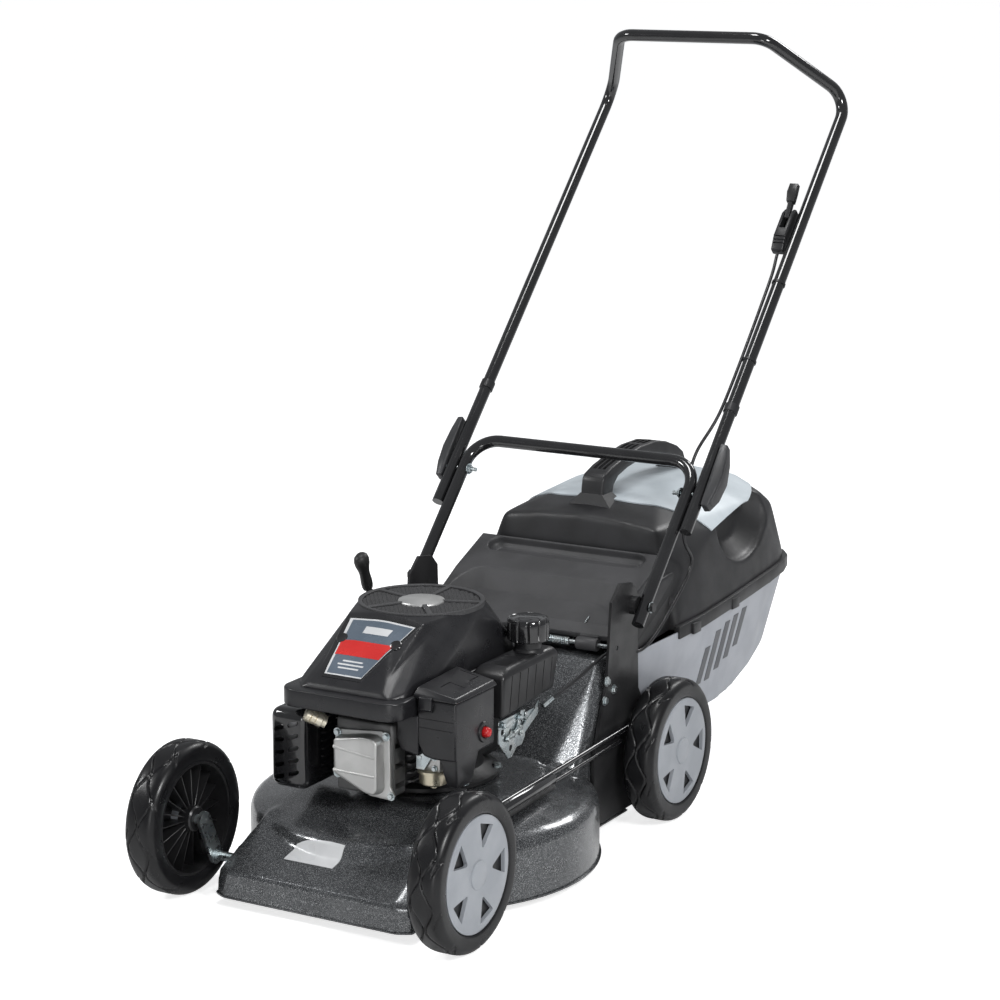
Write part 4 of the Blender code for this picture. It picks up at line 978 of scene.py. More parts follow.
# ---------------------------------------------------------------- air cleaner and carburettor
tub = outlined("air_tub", [(0.0895, 0.2822), (0.0895, 0.2240), (0.0975, 0.2065), (0.1120, 0.2035),
    (0.1470, 0.2050), (0.1470, 0.2822)], "Y", -0.1980, -0.1000, 0.0035)
foot = wrap("foot", [at(x, y, z) for x, y, z in ((0.120, -0.1965, 0.214), (0.1468, -0.1965,
    0.214), (0.120, -0.135, 0.214), (0.1468, -0.135, 0.214), (0.128, -0.188, 0.1670),
    (0.1440, -0.188, 0.1670), (0.128, -0.152, 0.1670), (0.1440, -0.152, 0.1670), (0.124, -0.195,
    0.190), (0.1465, -0.195, 0.190))])
bevel(foot, 0.003, 3)
carve(tub, foot, "UNION")
wing = outlined("wing", [(0.0915, 0.2588), (0.0580, 0.2588), (0.0580, 0.2250), (0.0645, 0.2095),
    (0.0915, 0.2045)], "Y", -0.1978, -0.1730, 0.003)
carve(tub, wing, "UNION")
for z in (0.2560, 0.2440):
    groove = brick("groove", (0.093, -0.1990, z), (0.1440, -0.1972, z + 0.0012))
    carve(tub, groove)
finish(shade(tub, 32), "chassis", COWL_BLACK, "air_filter_box")
lid = wrap("air_lid", [at(x, y, z) for x, y, z in ((0.0860, -0.2005, 0.2824), (0.1490, -0.2005,
    0.2824), (0.0860, -0.0975, 0.2824), (0.1490, -0.0975, 0.2824), (0.0860, -0.2005, 0.2880),
    (0.1490, -0.2005, 0.2850), (0.0860, -0.0975, 0.2880), (0.1490, -0.0975, 0.2850),
    (0.0915, -0.1965, 0.2975), (0.1455, -0.1965, 0.2885), (0.0915, -0.1010, 0.3010),
    (0.1455, -0.1010, 0.2905))])
bevel(lid, 0.0022, 3, angle_limit=math.radians(20))
for low, high in (((0.112, -0.1780, 0.28), (0.1135, -0.1540, 0.31)), ((0.112, -0.1555, 0.28),
        (0.1400, -0.1540, 0.31)), ((0.126, -0.1300, 0.28), (0.1275, -0.1080, 0.31)),
        ((0.100, -0.1095, 0.28), (0.1275, -0.1080, 0.31))):
    groove = brick("groove", low, high)
    groove.data.transform(Matrix.Translation((0, 0, 0.0112)))
    carve(lid, groove)
finish(shade(lid, 32), "filter_lid", COWL_BLACK, "air_filter_lid")
clip = outlined("lid_clip", [(-0.2040, 0.2700), (-0.1995, 0.2660), (-0.1985, 0.2810), (-0.2003,
    0.2868), (-0.2040, 0.2855)], "X", 0.0960, 0.1140, 0.0008, 2)
finish(clip, "filter_lid", COWL_BLACK, slot="air_filter_lid")
BULB = at(0.147, -0.128, 0.228)
seat = turned("bulb_ring", [(0.0080, 0.0002), (0.0080, 0.0018), (0.0095, 0.0026),
    (0.0130, 0.0022), (0.0140, 0.0002)], BULB, (1, 0, 0), 40)
finish(seat, "chassis", TANK_BLACK, slot="air_filter_box")
bulb = turned("primer_dome", [(0, -0.0023), (0.0069, -0.0023), (0.0070, 0.0030), (0.0067, 0.0060),
    (0.0055, 0.0086), (0.0036, 0.0100), (0, 0.0105)], BULB, (1, 0, 0), 40)
finish(bulb, "primer", RED, "primer_bulb")

BOWL = at(0.091, -0.160, 0)
body = brick("carb_body", (0.0712, -0.1715, 0.1765), (0.1080, -0.1425, 0.2030), 0.003, 3)
neck = turned("neck", [(0, 0), (0.010, 0), (0.010, 0.022), (0, 0.022)], at(0.096, -0.157, 0.190),
    (1, 0, 0), 32)
bowl = turned("bowl", [(0, 0.1590), (0.0160, 0.1590), (0.0185, 0.1610), (0.0190, 0.1650),
    (0.0190, 0.1745), (0.0210, 0.1752), (0.0210, 0.1785), (0, 0.1785)], BOWL, (0, 0, 1), 48)
drain = turned("drain", [(0, 0.1530), (0.0042, 0.1530), (0.0042, 0.1582), (0, 0.1582)], BOWL,
    (0, 0, 1), 6)
finish(together("carb_body", [shade(body), neck]), "chassis", CAST, "carburettor")
finish(together("carb_bowl", [bowl, drain]), "chassis", BOWL_METAL, slot="carburettor")
for n, (x, y, z) in enumerate(((0.080, -0.1722, 0.1960), (0.100, -0.1722, 0.1830),
        (0.100, -0.1722, 0.1975))):
    screw = hex_bolt("carb_screw_%d" % n, at(x, y, z), (0, -1, 0), 0.0030, 0.0040, 12)
    finish(screw, "chassis", ZINC, slot="carburettor")
bracket = outlined("carb_bracket", [(0.0740, 0.2035), (0.1120, 0.2035), (0.1120, 0.1990),
    (0.0960, 0.1960), (0.0860, 0.1800), (0.0740, 0.1800)], "Y", -0.1755, -0.1735, 0.0004, 1)
finish(bracket, "chassis", ZINC, slot="carburettor")

# ---------------------------------------------------------------- tank
FILLER = at(0.1145, 0.045, 0)
tank = wrap("fuel_cell", [at(x, y, z) for x, y, z in ((0.0905, -0.060, 0.2235), (0.1350, -0.060,
    0.2235), (0.0905, 0.080, 0.2330), (0.1350, 0.080, 0.2330), (0.0905, -0.064, 0.2820),
    (0.1400, -0.064, 0.2820), (0.0905, 0.086, 0.2840), (0.1400, 0.086, 0.2840), (0.0930, -0.046,
    0.2912), (0.1340, -0.046, 0.2912), (0.0930, 0.078, 0.2922), (0.1340, 0.078, 0.2922))])
bevel(tank, 0.005, 4)
for n in range(6):
    y = -0.042 + n * 0.0215
    rib = wrap("rib", [at(x, y + w, z) for x in (0.1335, 0.150) for w in (0.0, 0.0016)
        for z in (0.2200, 0.2800)])
    rib.data.transform(Matrix.Translation((0.0008, 0, 0)))
    for vert in rib.data.vertices:
        if vert.co.z > 0.26:
            vert.co.x += 0.0042
    carve(tank, rib)
step = brick("step", (0.1000, -0.0400, 0.2905), (0.1300, 0.0080, 0.30), 0.002, 2)
carve(tank, step)
neck = turned("filler_neck", [(0, 0.288), (0.0215, 0.288), (0.0200, 0.294), (0.0182, 0.2960),
    (0.0182, 0.3056), (0, 0.3056)], FILLER, (0, 0, 1), 48)
carve(tank, neck, "UNION")
finish(shade(tank, 32), "chassis", TANK_BLACK, "fuel_tank")
cap = turn("fuel_cap_fine", [(0, 0.3060), (0.0265, 0.3060), (0.0280, 0.3075), (0.0285, 0.3110),
    (0.0285, 0.3300), (0.0278, 0.3340), (0.0262, 0.3362), (0.0240, 0.3368), (0.0215, 0.3352),
    (0.0190, 0.3350), (0.0130, 0.3366), (0, 0.3372)], 192)
for vert in cap.data.vertices:
    radius = math.hypot(vert.co.x, vert.co.y)
    if radius > 0.0262 and 0.3085 < vert.co.z < 0.3345:
        notch = max(0.0, math.cos(12 * math.atan2(vert.co.y, vert.co.x))) ** 6 * 0.0022
        vert.co.x *= (radius - notch) / radius
        vert.co.y *= (radius - notch) / radius
stand(cap, FILLER, (0, 0, 1))
finish(shade(cap, 35), "fuel_cap", GLOSS_BLACK, "fuel_cap")

# ---------------------------------------------------------------- throttle plate
plate = outlined("control_plate", [(-0.0500, 0.2165), (-0.0500, 0.1860), (-0.0440, 0.1800),
    (-0.0250, 0.1600), (-0.0160, 0.1600), (-0.0020, 0.1700), (0.0120, 0.1700), (0.0200, 0.1800),
    (0.0200, 0.2165)], "X", 0.1222, 0.1240)
for y, z, radius in ((-0.040, 0.200, 0.0042), (-0.018, 0.1730, 0.0042), (-0.020, 0.1960, 0.0028),
        (0.012, 0.2040, 0.0028)):
    hole = turned("hole", [(0, -0.01), (radius, -0.01), (radius, 0.01), (0, 0.01)], at(0.123, y,
        z), (1, 0, 0), 24)
    carve(plate, hole)
bevel(plate, 0.0004, 1)
finish(shade(plate, 30), "chassis", ZINC, "throttle_plate")
tab = outlined("cable_stop", [(0.0180, 0.2130), (0.0180, 0.2030), (0.0480, 0.2080),
    (0.0560, 0.2180), (0.0520, 0.2220), (0.0440, 0.2140)], "X", 0.1246, 0.1262, 0.0004, 1)
link_bar = outlined("governor_bar", [(-0.012, 0.186), (-0.006, 0.184), (0.0100, 0.2180),
    (0.0040, 0.2200)], "X", 0.1252, 0.1268, 0.0004, 1)
spring = threaded("governor_spring", at(0.1285, -0.030, 0.190), (0, 1, 0.25), 0.0024, 0.034,
    0.0017, 0.0005)
wire = pipe("governor_wire", [at(0.1285, -0.058, 0.2080), at(0.1285, -0.030, 0.2060), at(0.1290,
    -0.012, 0.2100), at(0.1290, 0.016, 0.2090)], 0.0008, 2)
finish(together("governor_parts", [tab, link_bar, spring, wire]), "chassis", ZINC,
    slot="throttle_plate")
for n, (y, z) in enumerate(((-0.030, 0.1885), (0.0060, 0.1900), (0.0020, 0.2105),
        (-0.042, 0.211))):
    pin = hex_bolt("plate_pin_%d" % n, at(0.1256, y, z), (1, 0, 0), 0.0034, 0.0036, 12)
    finish(pin, "throttle_arm" if n == 1 else "chassis", ZINC, slot="throttle_plate")

grip = brick("starter_handle", (-0.0620, 0.1035, 0.3055), (-0.0280, 0.1225, 0.3185), 0.0052, 4)
for x in (-0.056, -0.051, -0.039, -0.034):
    groove = brick("groove", (x, 0.09, 0.3172), (x + 0.0018, 0.13, 0.33))
    carve(grip, groove)
finish(shade(grip, 32), "starter", TANK_BLACK, "starter_grip")
ferrule = turned("cord_ferrule", [(0, -0.010), (0.0042, -0.010), (0.0052, -0.004), (0.0052, 0.0),
    (0, 0.0)], at(-0.045, 0.113, 0.3058), (0, 0.2, 1), 24)
finish(ferrule, "starter", TANK_BLACK, slot="starter_grip")
guide = turned("cord_guide", [(0.0026, -0.004), (0.0075, -0.004), (0.0085, 0.0), (0.0075, 0.0035),
    (0.0035, 0.0035)], at(-0.045, 0.0965, 0.2900), (0, 0.5, 0.866), 28)
finish(guide, "chassis", ZINC, slot="cowl_base")

# ---------------------------------------------------------------- discharge flap
HINGE_Y = 0.207
HINGE_Z = 0.262
def hinged_flap():
    flap = outlined("flap_panel", [(0.2110, 0.2745), (0.2145, 0.2660), (0.2380, 0.2700),
        (0.3020, 0.2960), (0.3600, 0.3190), (0.3780, 0.3290), (0.3785, 0.3568), (0.3695, 0.3530),
        (0.2990, 0.3230), (0.2340, 0.2870)], "X", -0.150, 0.150)
    points = []
    for i in range(13):
        angle = math.radians(90 * i / 12)
        over = 0.040 * (1 - math.cos(angle))
        up = 0.048 * math.sin(angle)
        for side in (-1, 1):
            x = side * (0.142 - over)
            y = 0.264 + up
            points.append(at(x, y, surface_height(y) + 0.006))
            inner_x = side * (0.128 - over * 0.95)
            inner_y = 0.238 + up * 0.92
            points.append(at(inner_x, inner_y, surface_height(inner_y) - 0.0165))
    for side in (-1, 1):
        points.append(at(side * 0.142, 0.228, surface_height(0.232) + 0.006))
        points.append(at(side * 0.128, 0.236, surface_height(0.236) - 0.0165))
    carve(flap, wrap("arch", points))
    ends = []
    slope = Vector((0, 0.9246, 0.381))
    over = Vector((0, -0.381, 0.9246))
    middle = at(0, 0.3590, surface_height(0.3590))
    for side in (-1, 1):
        for i in range(13):
            angle = math.radians(-90 + 180 * i / 12)
            for grow, lift in ((1.0, 0.004), (1.0, 0.0), (0.86, -0.0085), (0.50, -0.0135)):
                ends.append(middle + Vector((side * (0.1110 + 0.0170 * grow * math.cos(angle)), 0,
                    0)) + slope * (0.0170 * grow * math.sin(angle)) + over * lift)
    carve(flap, wrap("hand_trough", ends))
    soften(flap, 0.0016, 2)
    knuckles = [flap]
    for side in (-1, 1):
        knuckles.append(turned("knuckle", [(0.0035, -0.016), (0.0035, 0.016), (0.0085, 0.016),
            (0.0092, 0.015), (0.0092, -0.015), (0.0085, -0.016)], at(side * 0.118, HINGE_Y,
            HINGE_Z), (1, 0, 0), 32))
        knuckles.append(brick("lug", (side * 0.118 - 0.015, 0.2095, 0.2640),
            (side * 0.118 + 0.015, 0.2230, 0.2740), 0.002, 2))
    return together("flap_panel", knuckles)


def surface_height(y):
    """The flap's upper face."""
    if y < 0.299:
        return 0.2870 + (y - 0.234) * (0.0360 / 0.065)
    return 0.3230 + (y - 0.299) * (0.0290 / 0.0705)


finish(hinged_flap(), "rear_flap", FLAP_GREY, "rear_flap")
spring = threaded("flap_torsion_spring", at(0.030, HINGE_Y, HINGE_Z), (1, 0, 0), 0.0050, 0.060,
    0.0030, 0.0010)
tail = pipe("spring_tail", [at(0.090, 0.212, 0.262), at(0.092, 0.240, 0.2760), at(0.092, 0.260,
    0.2860)], 0.0010, 3)
finish(together("flap_torsion_spring", [spring, tail]), "chassis", ZINC, "flap_spring")
for side, tag in ((1, "l"), (-1, "r")):
    clip = turned("rod_clip_" + tag, [(0.0032, -0.0012), (0.0080, -0.0012), (0.0080, 0.0012),
        (0.0032, 0.0012)], at(side * 0.1568, HINGE_Y, HINGE_Z), (1, 0, 0), 24)
    finish(clip, "chassis", ZINC, slot="flap_rod")

# ---------------------------------------------------------------- catcher
RIM_WAY = Vector((0, RIM_RISE, CATCH_FRONT - CATCH_BACK)).normalized()


def rim_height(y):
    share = max(0.0, (y - CATCH_FRONT) / (CATCH_BACK - CATCH_FRONT))
    return RIM_Z + RIM_RISE * share


PLAN = [(0.155, CATCH_FRONT), (0.157, 0.335), (0.170, 0.385), (0.1725, 0.46), (0.172, 0.55),
    (0.170, 0.63), (0.1675, 0.70), (0.163, 0.750), (0.154, 0.782), (0.138, 0.803), (0.110, 0.815),
    (0.060, 0.8205), (0.0, CATCH_BACK)]


def grass_bin():
    near = []
    for x, y in PLAN:
        near.append(at(x, y, rim_height(y) + 0.02))
        near.append(at(x, y, rim_height(y) - 0.012))
    for x, y, z in ((0.148, CATCH_FRONT, 0.092), (0.148, 0.40, 0.092), (0.146, 0.50, 0.102),
            (0.144, 0.57, 0.094), (0.142, 0.63, 0.100), (0.141, 0.69, 0.118), (0.139, 0.74,
            0.142), (0.134, 0.778, 0.178), (0.110, 0.795, 0.185), (0.0, 0.803, 0.190), (0.0, 0.76,
            0.135), (0.0, 0.69, 0.108), (0.0, 0.60, 0.094), (0.0, 0.50, 0.092)):
        near.append(at(x, y, z))
    tub = wrap("grass_bin", both_sides(near))
    front = brick("front", (-0.3, 0.10, 0.0), (0.3, CATCH_FRONT, 0.5))
    carve(tub, front)
    soften(tub, 0.0034, 4)
    edit(tub)
    bpy.ops.mesh.bisect(plane_co=at(0, 0, rim_height(CATCH_FRONT) - 0.0275), plane_no=(0, 0, -1),
        clear_outer=False)
    trim(at(0, CATCH_FRONT, RIM_Z), -RIM_WAY)
    trim(at(0, CATCH_FRONT + 0.0045, 0), (0, -1, 0))
    done()
    modify(tub, "SOLIDIFY", thickness=0.0025, offset=-1)
    return shade(tub, 50)


tub = grass_bin()
for n, (start, end, low, high) in enumerate(((0.475, 0.492, 0.140, 0.196), (0.505, 0.522, 0.140,
        0.215), (0.535, 0.552, 0.150, 0.222), (0.565, 0.582, 0.160, 0.226), (0.595, 0.612, 0.172,
        0.230))):
    for side, tag in ((1, "l"), (-1, "r")):
        lean = 0.012
        bar = patch("bin_bar_%s_%d" % (tag, n), ((side * 0.2, start, low), (side * 0.2, end, low),
            (side * 0.2, end + lean, high), (side * 0.2, start + lean, high)), 6, 20)
        lay_on(bar, tub, (-side, 0, 0), 0.0001, 0.0005)
        finish(bar, "catcher", BIN_MARK, slot="catcher_bin")
finish(tub, "catcher", BIN_GREY, "catcher_bin")


SCOOP_Y = 0.52
SCOOP_TOP = 0.3650
SCOOP_RISE = 0.141


def catcher_lid():
    near = []
    for x, y in PLAN[2:]:
        edge = rim_height(y)
        near.append(at(x - (0.004 if y < 0.39 else 0.0), max(y, 0.392), edge - 0.02))
        near.append(at(x - (0.004 if y < 0.39 else 0.0), max(y, 0.392), edge + 0.012))
    for x, y, z in ((0.140, 0.389, 0.335), (0.132, 0.389, 0.352), (0.125, 0.398, 0.386),
            (0.060, 0.398, 0.394), (0.0, 0.398, 0.396), (0.0, 0.458, 0.4125), (0.090, 0.47,
            0.4035), (0.158, 0.520, 0.366), (0.161, 0.470, 0.345), (0.152, 0.430, 0.352),
            (0.140, 0.530, 0.386), (0.0, 0.600, 0.418), (0.060, 0.60, 0.4140), (0.120, 0.62,
            0.401), (0.152, 0.64, 0.384), (0.0, 0.733, 0.412), (0.090, 0.733, 0.405),
            (0.140, 0.725, 0.385), (0.0, 0.785, 0.384), (0.080, 0.780, 0.376), (0.122, 0.768,
            0.348), (0.0, 0.812, 0.330), (0.070, 0.806, 0.322), (0.0, 0.762, 0.400),
            (0.085, 0.758, 0.393), (0.156, 0.752, 0.325), (0.136, 0.790, 0.318), (0.161, 0.705,
            0.350), (0.098, 0.806, 0.322), (0.146, 0.750, 0.366), (0.118, 0.782, 0.358)):
        near.append(at(x, y, z))
    dome = wrap("catcher_lid", both_sides(near))
    modify(dome, "REMESH", mode="VOXEL", voxel_size=0.0036)
    modify(dome, "SMOOTH", factor=0.5, iterations=14)
    crown = copy_of(dome, "crown")
    for side in (-1, 1):
        points = []
        for i in range(25):
            angle = math.pi * i / 24
            for depth, grow in ((0.040, 1.10), (0.012, 1.0), (-0.018, 0.88), (-0.042, 0.60)):
                y = 0.628 - 0.102 * grow * math.cos(angle)
                top = SCOOP_TOP + (y - SCOOP_Y) * SCOOP_RISE
                z = top - 0.082 * grow * math.sin(angle)
                x = 0.163 - (top - z) * -0.16 + depth
                points.append(at(side * x, y, z))
        carve(dome, wrap("scoop", points))
    modify(dome, "REMESH", mode="VOXEL", voxel_size=0.0028)
    modify(dome, "SMOOTH", factor=0.5, iterations=3)
    front = outlined("front", [(CATCH_FRONT, 0.2200), (CATCH_FRONT, 0.2720), (0.300, 0.2965),
        (0.366, 0.3240), (0.41, 0.3260), (0.41, 0.22)], "X", -0.152, 0.152, 0.004, 3)
    carve(dome, front, "UNION")
    edit(dome)
    trim(at(0, CATCH_FRONT, RIM_Z + 0.0003), RIM_WAY)
    trim(at(0, CATCH_FRONT + 0.0005, 0), (0, -1, 0))
    done()
    modify(dome, "SOLIDIFY", thickness=0.0025, offset=-1)
    return shade(dome, 50), crown


lid_dome, lid_crown = catcher_lid()


def pale_panel():
    """The raised pale skin on the lid's crown, ended along each scoop's top."""
    rows = 80
    cols = 80
    spots = []
    for j in range(rows + 1):
        for i in range(cols + 1):
            side = i / cols * 2 - 1
            share = j / rows
            start = 0.4570 + 0.0600 * abs(side) ** 2.2
            end = 0.7420 - 0.006 * side ** 2
            y = start + (end - start) * share
            half = 0.1600 - 0.0150 * (y - 0.457) / 0.285
            spots.append(at(side * half, y, 0.6))
    piece = grid_of("pale_panel", spots, rows, cols)
    lay_on(piece, lid_crown, (0, 0, -1), 0.0, 0.0020)
    edit(piece)
    tilt = Vector((0, SCOOP_RISE, -1)).normalized()
    trim(at(0, SCOOP_Y, SCOOP_TOP), tilt, fill=True)
    done()
    bpy.data.objects.remove(lid_crown)
    return shade(piece, 40)


finish(pale_panel(), "catcher", PANEL_PALE, slot="catcher_top")
finish(lid_dome, "catcher", CATCHER_BLACK, "catcher_top")


def lid_flange():
    near = []
    far = []
    for x, y in PLAN[2:]:
        y = max(y, 0.372)
        x = x if y > 0.39 else 0.1665
        grow = 1 + 0.0065 / max(0.12, math.hypot(x, (y - 0.55)))
        gx = x + 0.0062 * (1 if y < 0.72 else x / 0.16)
        gy = y + (0.0062 * max(0.0, min(1.0, (y - 0.70) / 0.10)))
        for z in (-0.0095, 0.0085):
            near.append(at(gx, gy, rim_height(y) + z))
            far.append(at(x - 0.0030, y - (0.0030 if y > 0.70 else 0.0), rim_height(y) + z * 1.4))
    rim_band = wrap("lid_flange", both_sides(near))
    far += [at(0.155, 0.30, rim_height(0.3) + z) for z in (-0.02, 0.02)]
    carve(rim_band, wrap("inside", both_sides(far)))
    bevel(rim_band, 0.0016, 2)
    pieces = [shade(rim_band, 35)]
    for side in (-1, 1):
        for y, x in ((0.430, 0.1785), (0.560, 0.1785), (0.690, 0.1700)):
            z = rim_height(y)
            pieces.append(brick("clip", (side * x - 0.004, y - 0.012, z - 0.012),
                (side * x + 0.0012, y + 0.012, z + 0.0045), 0.0015, 2))
    return together("lid_flange", pieces)


finish(lid_flange(), "catcher", CATCHER_BLACK, slot="catcher_top")


def carry_grip():
    outline = [(0.4340, 0.3960), (0.4375, 0.4280), (0.4400, 0.4410), (0.4460, 0.4480),
        (0.4700, 0.4560), (0.5200, 0.4660), (0.5600, 0.4715), (0.6100, 0.4715), (0.6500, 0.4640),
        (0.6850, 0.4520), (0.7050, 0.4400), (0.7110, 0.4290), (0.7130, 0.3980), (0.6900, 0.3980),
        (0.6860, 0.4200), (0.6700, 0.4340), (0.6400, 0.4450), (0.6100, 0.4505), (0.5600, 0.4510),
        (0.5200, 0.4460), (0.4880, 0.4380), (0.4740, 0.4270), (0.4680, 0.3980)]
    strap = outlined("carry_strap", outline, "X", -0.0185, 0.0185, 0.0042, 3)
    for front, back in ((0.4340, 0.4680), (0.6900, 0.7130)):
        neck = wrap("neck", both_sides([at(0.0178, front + 0.002, 0.4200), at(0.0178,
            back - 0.002, 0.4200), at(0.0240, front, 0.4080), at(0.0240, back, 0.4080), at(0.0420,
            front - 0.008, 0.3950), at(0.0420, back + 0.008, 0.3950)]))
        carve(strap, neck, "UNION")
    for n, (start, end) in enumerate(((0.460, 0.508), (0.518, 0.572), (0.582, 0.634),
            (0.644, 0.684))):
        for x in (-0.0105, -0.0028, 0.0049):
            z0 = grip_top(start)
            z1 = grip_top(end)
            cut = wrap("slot", [at(x + w, y, z + d) for w in (0, 0.0056) for y, z in ((start, z0),
                (end, z1)) for d in (-0.0042, 0.012)])
            carve(strap, cut)
    return shade(strap, 35)


def grip_top(y):
    """The strap's upper face."""
    marks = ((0.4460, 0.4480), (0.4700, 0.4560), (0.5200, 0.4660), (0.5600, 0.4715),
        (0.6100, 0.4715), (0.6500, 0.4640), (0.6850, 0.4520), (0.7050, 0.4400))
    for (y0, z0), (y1, z1) in zip(marks, marks[1:]):
        if y0 <= y <= y1:
            return z0 + (z1 - z0) * (y - y0) / (y1 - y0)
    return 0.45


finish(carry_grip(), "catcher", CATCHER_BLACK, "catcher_grip")

# ---------------------------------------------------------------- height setting
knob_way = Vector((0, -0.070, 0.187)).normalized()
knob = turned("lever_grip", [(0, 0), (0.0080, 0), (0.0092, 0.004), (0.0096, 0.012),
    (0.0088, 0.020), (0.0086, 0.026), (0.0100, 0.033), (0.0122, 0.040), (0.0128, 0.046),
    (0.0112, 0.0520), (0.0070, 0.0555), (0, 0.0562)], at(-0.1675, 0.090, 0.3315), knob_way, 40)
for vert in knob.data.vertices:
    vert.co.x = -0.1675 + (vert.co.x + 0.1675) * 0.78
finish(shade(knob, 60), "height_lever", GRIP_RUBBER, "lever_knob")
LINK_A = at(0.1745, -0.200, 0.1345)
LINK_B = at(0.1745, 0.386, 0.1515)
run = (LINK_B - LINK_A).normalized()
rod = pipe("link_rod", [LINK_A, LINK_B], 0.0036, 6)
eyes = []
for spot in (LINK_A, LINK_B):
    eyes.append(turned("eye", [(0.0032, -0.0032), (0.0080, -0.0032), (0.0084, -0.0026),
        (0.0084, 0.0026), (0.0080, 0.0032), (0.0032, 0.0032)], spot, (1, 0, 0), 36))
finish(together("link_rod", [rod] + eyes), "height_link", GLOSS_BLACK, "height_link")
drop = Vector((0.0, 0.0, -0.0135))
lower = pipe("guide_rod", [LINK_A + run * 0.030 + drop, LINK_A + run * 0.400 + drop], 0.0030, 5)
finish(lower, "height_link", GLOSS_BLACK, slot="height_link")
sleeve = turned("link_sleeve", [(0.0038, 0), (0.0085, 0), (0.0092, 0.002), (0.0092, 0.148),
    (0.0085, 0.150), (0.0038, 0.150)], LINK_A + run * 0.050 + drop * 0.55, run, 36)
finish(sleeve, "height_link", GLOSS_BLACK, "height_sleeve")
coil = threaded("link_spring", LINK_A + run * 0.052 + drop * 1.10 + Vector((0.0040, 0, 0)), run,
    0.0052, 0.145, 0.0032, 0.0008)
finish(coil, "height_link", DARK_CAST, slot="height_sleeve")
for key, spot, body_name in (("front", LINK_A, "front_axle"), ("rear", LINK_B, "rear_axle")):
    nut = hex_bolt("link_nut_" + key, spot + Vector((0.0041, 0, 0)), (1, 0, 0), 0.0052, 0.0045)
    finish(nut, body_name, ZINC, slot=body_name)

# ---------------------------------------------------------------- throttle control and cable
CONTROL_X = UPPER_X - TUBE_R - 0.0012
CONTROL_S = 0.660
house = wrap("control_house", [on_leg(x, CONTROL_S + along, lift) for x in (CONTROL_X,
    CONTROL_X - 0.0195) for along, lift in ((-0.044, -0.005), (-0.044, 0.007), (-0.022, -0.0115),
    (-0.022, 0.0150), (0.018, -0.0115), (0.020, 0.0150), (0.031, -0.004), (0.031, 0.0095))])
bevel(house, 0.0026, 4)
gap = wrap("gap", [on_leg(CONTROL_X - x, CONTROL_S + along, lift) for x in (0.0045, 0.0145)
    for along in (-0.008, 0.06) for lift in (0.0, 0.03)])
carve(house, gap)
for along in (-0.034, -0.029, -0.024):
    groove = wrap("groove", [on_leg(CONTROL_X - x, CONTROL_S + along + w, lift) for x in (-0.002,
        0.022) for w in (0, 0.0014) for lift in (0.0085 + (along + 0.034) * 0.3, 0.03)])
    carve(house, groove)
finish(shade(house, 32), "upper_handle", TANK_BLACK, "throttle_control")
for n, along in enumerate((-0.012, 0.024)):
    screw = turned("control_screw_%d" % n, [(0, 0.001), (0.0030, 0.0008), (0.0032, 0.0),
        (0.0032, -0.001), (0, -0.001)], on_leg(CONTROL_X - 0.0196, CONTROL_S + along, 0.001),
        (-1, 0, 0), 24)
    finish(screw, "upper_handle", ZINC, slot="throttle_control")
LEVER_X = CONTROL_X - 0.0095
stem = wrap("lever_stem", [on_leg(LEVER_X + x, CONTROL_S + 0.010 + along, lift) for x in (-0.0034,
    0.0034) for along, lift in ((0.001, 0.0065), (0.001, 0.0145), (0.031, 0.013),
    (0.031, 0.0215))])
pad = wrap("lever_pad", [on_leg(LEVER_X + x * half, CONTROL_S + 0.010 + along, lift)
    for half in (-1, 1) for x, along, lift in ((0.0060, 0.0265, 0.0125), (0.0060, 0.0265, 0.0220),
    (0.0076, 0.0400, 0.0180), (0.0076, 0.0400, 0.0270), (0.0072, 0.0550, 0.0215), (0.0066, 0.0540,
    0.0290))])
carve(stem, pad, "UNION")
bevel(stem, 0.0012, 3, angle_limit=math.radians(35))
finish(shade(stem, 35), "throttle_lever", TANK_BLACK, "throttle_lever")

CABLE_R = 0.0024
LEG_IN = LEG_X - TUBE_R
cable_top = [on_leg(CONTROL_X - 0.0090, 0.6135, 0.001), on_leg(UPPER_X - TUBE_R - 0.006, 0.550),
    on_leg(UPPER_X - TUBE_R - 0.006, 0.340), on_leg(LEG_IN - 0.009, 0.250, -0.0145)]
cable_foot = [on_leg(LEG_IN - 0.009, 0.250, -0.0145), at(0.1800, 0.3779, 0.3922), at(0.1800,
    0.4046, 0.3450), at(0.1760, 0.3643, 0.2988), at(0.1660, 0.2852, 0.2440), at(0.1520, 0.2091,
    0.2543), at(0.1440, 0.1254, 0.2337), at(0.1300, 0.058, 0.2120)]


def smooth(keys, before, after, steps=16):
    """An even curve through the keys; before and after steer its two ends."""
    padded = [before] + list(keys) + [after]
    path = []
    for a, b, c, d in zip(padded, padded[1:], padded[2:], padded[3:]):
        for i in range(steps):
            t = i / steps
            path.append(0.5 * (2 * b + (c - a) * t + (2 * a - 5 * b + 4 * c - d) * t * t
                + (3 * b - a - 3 * c + d) * t ** 3))
    path.append(keys[-1])
    return path


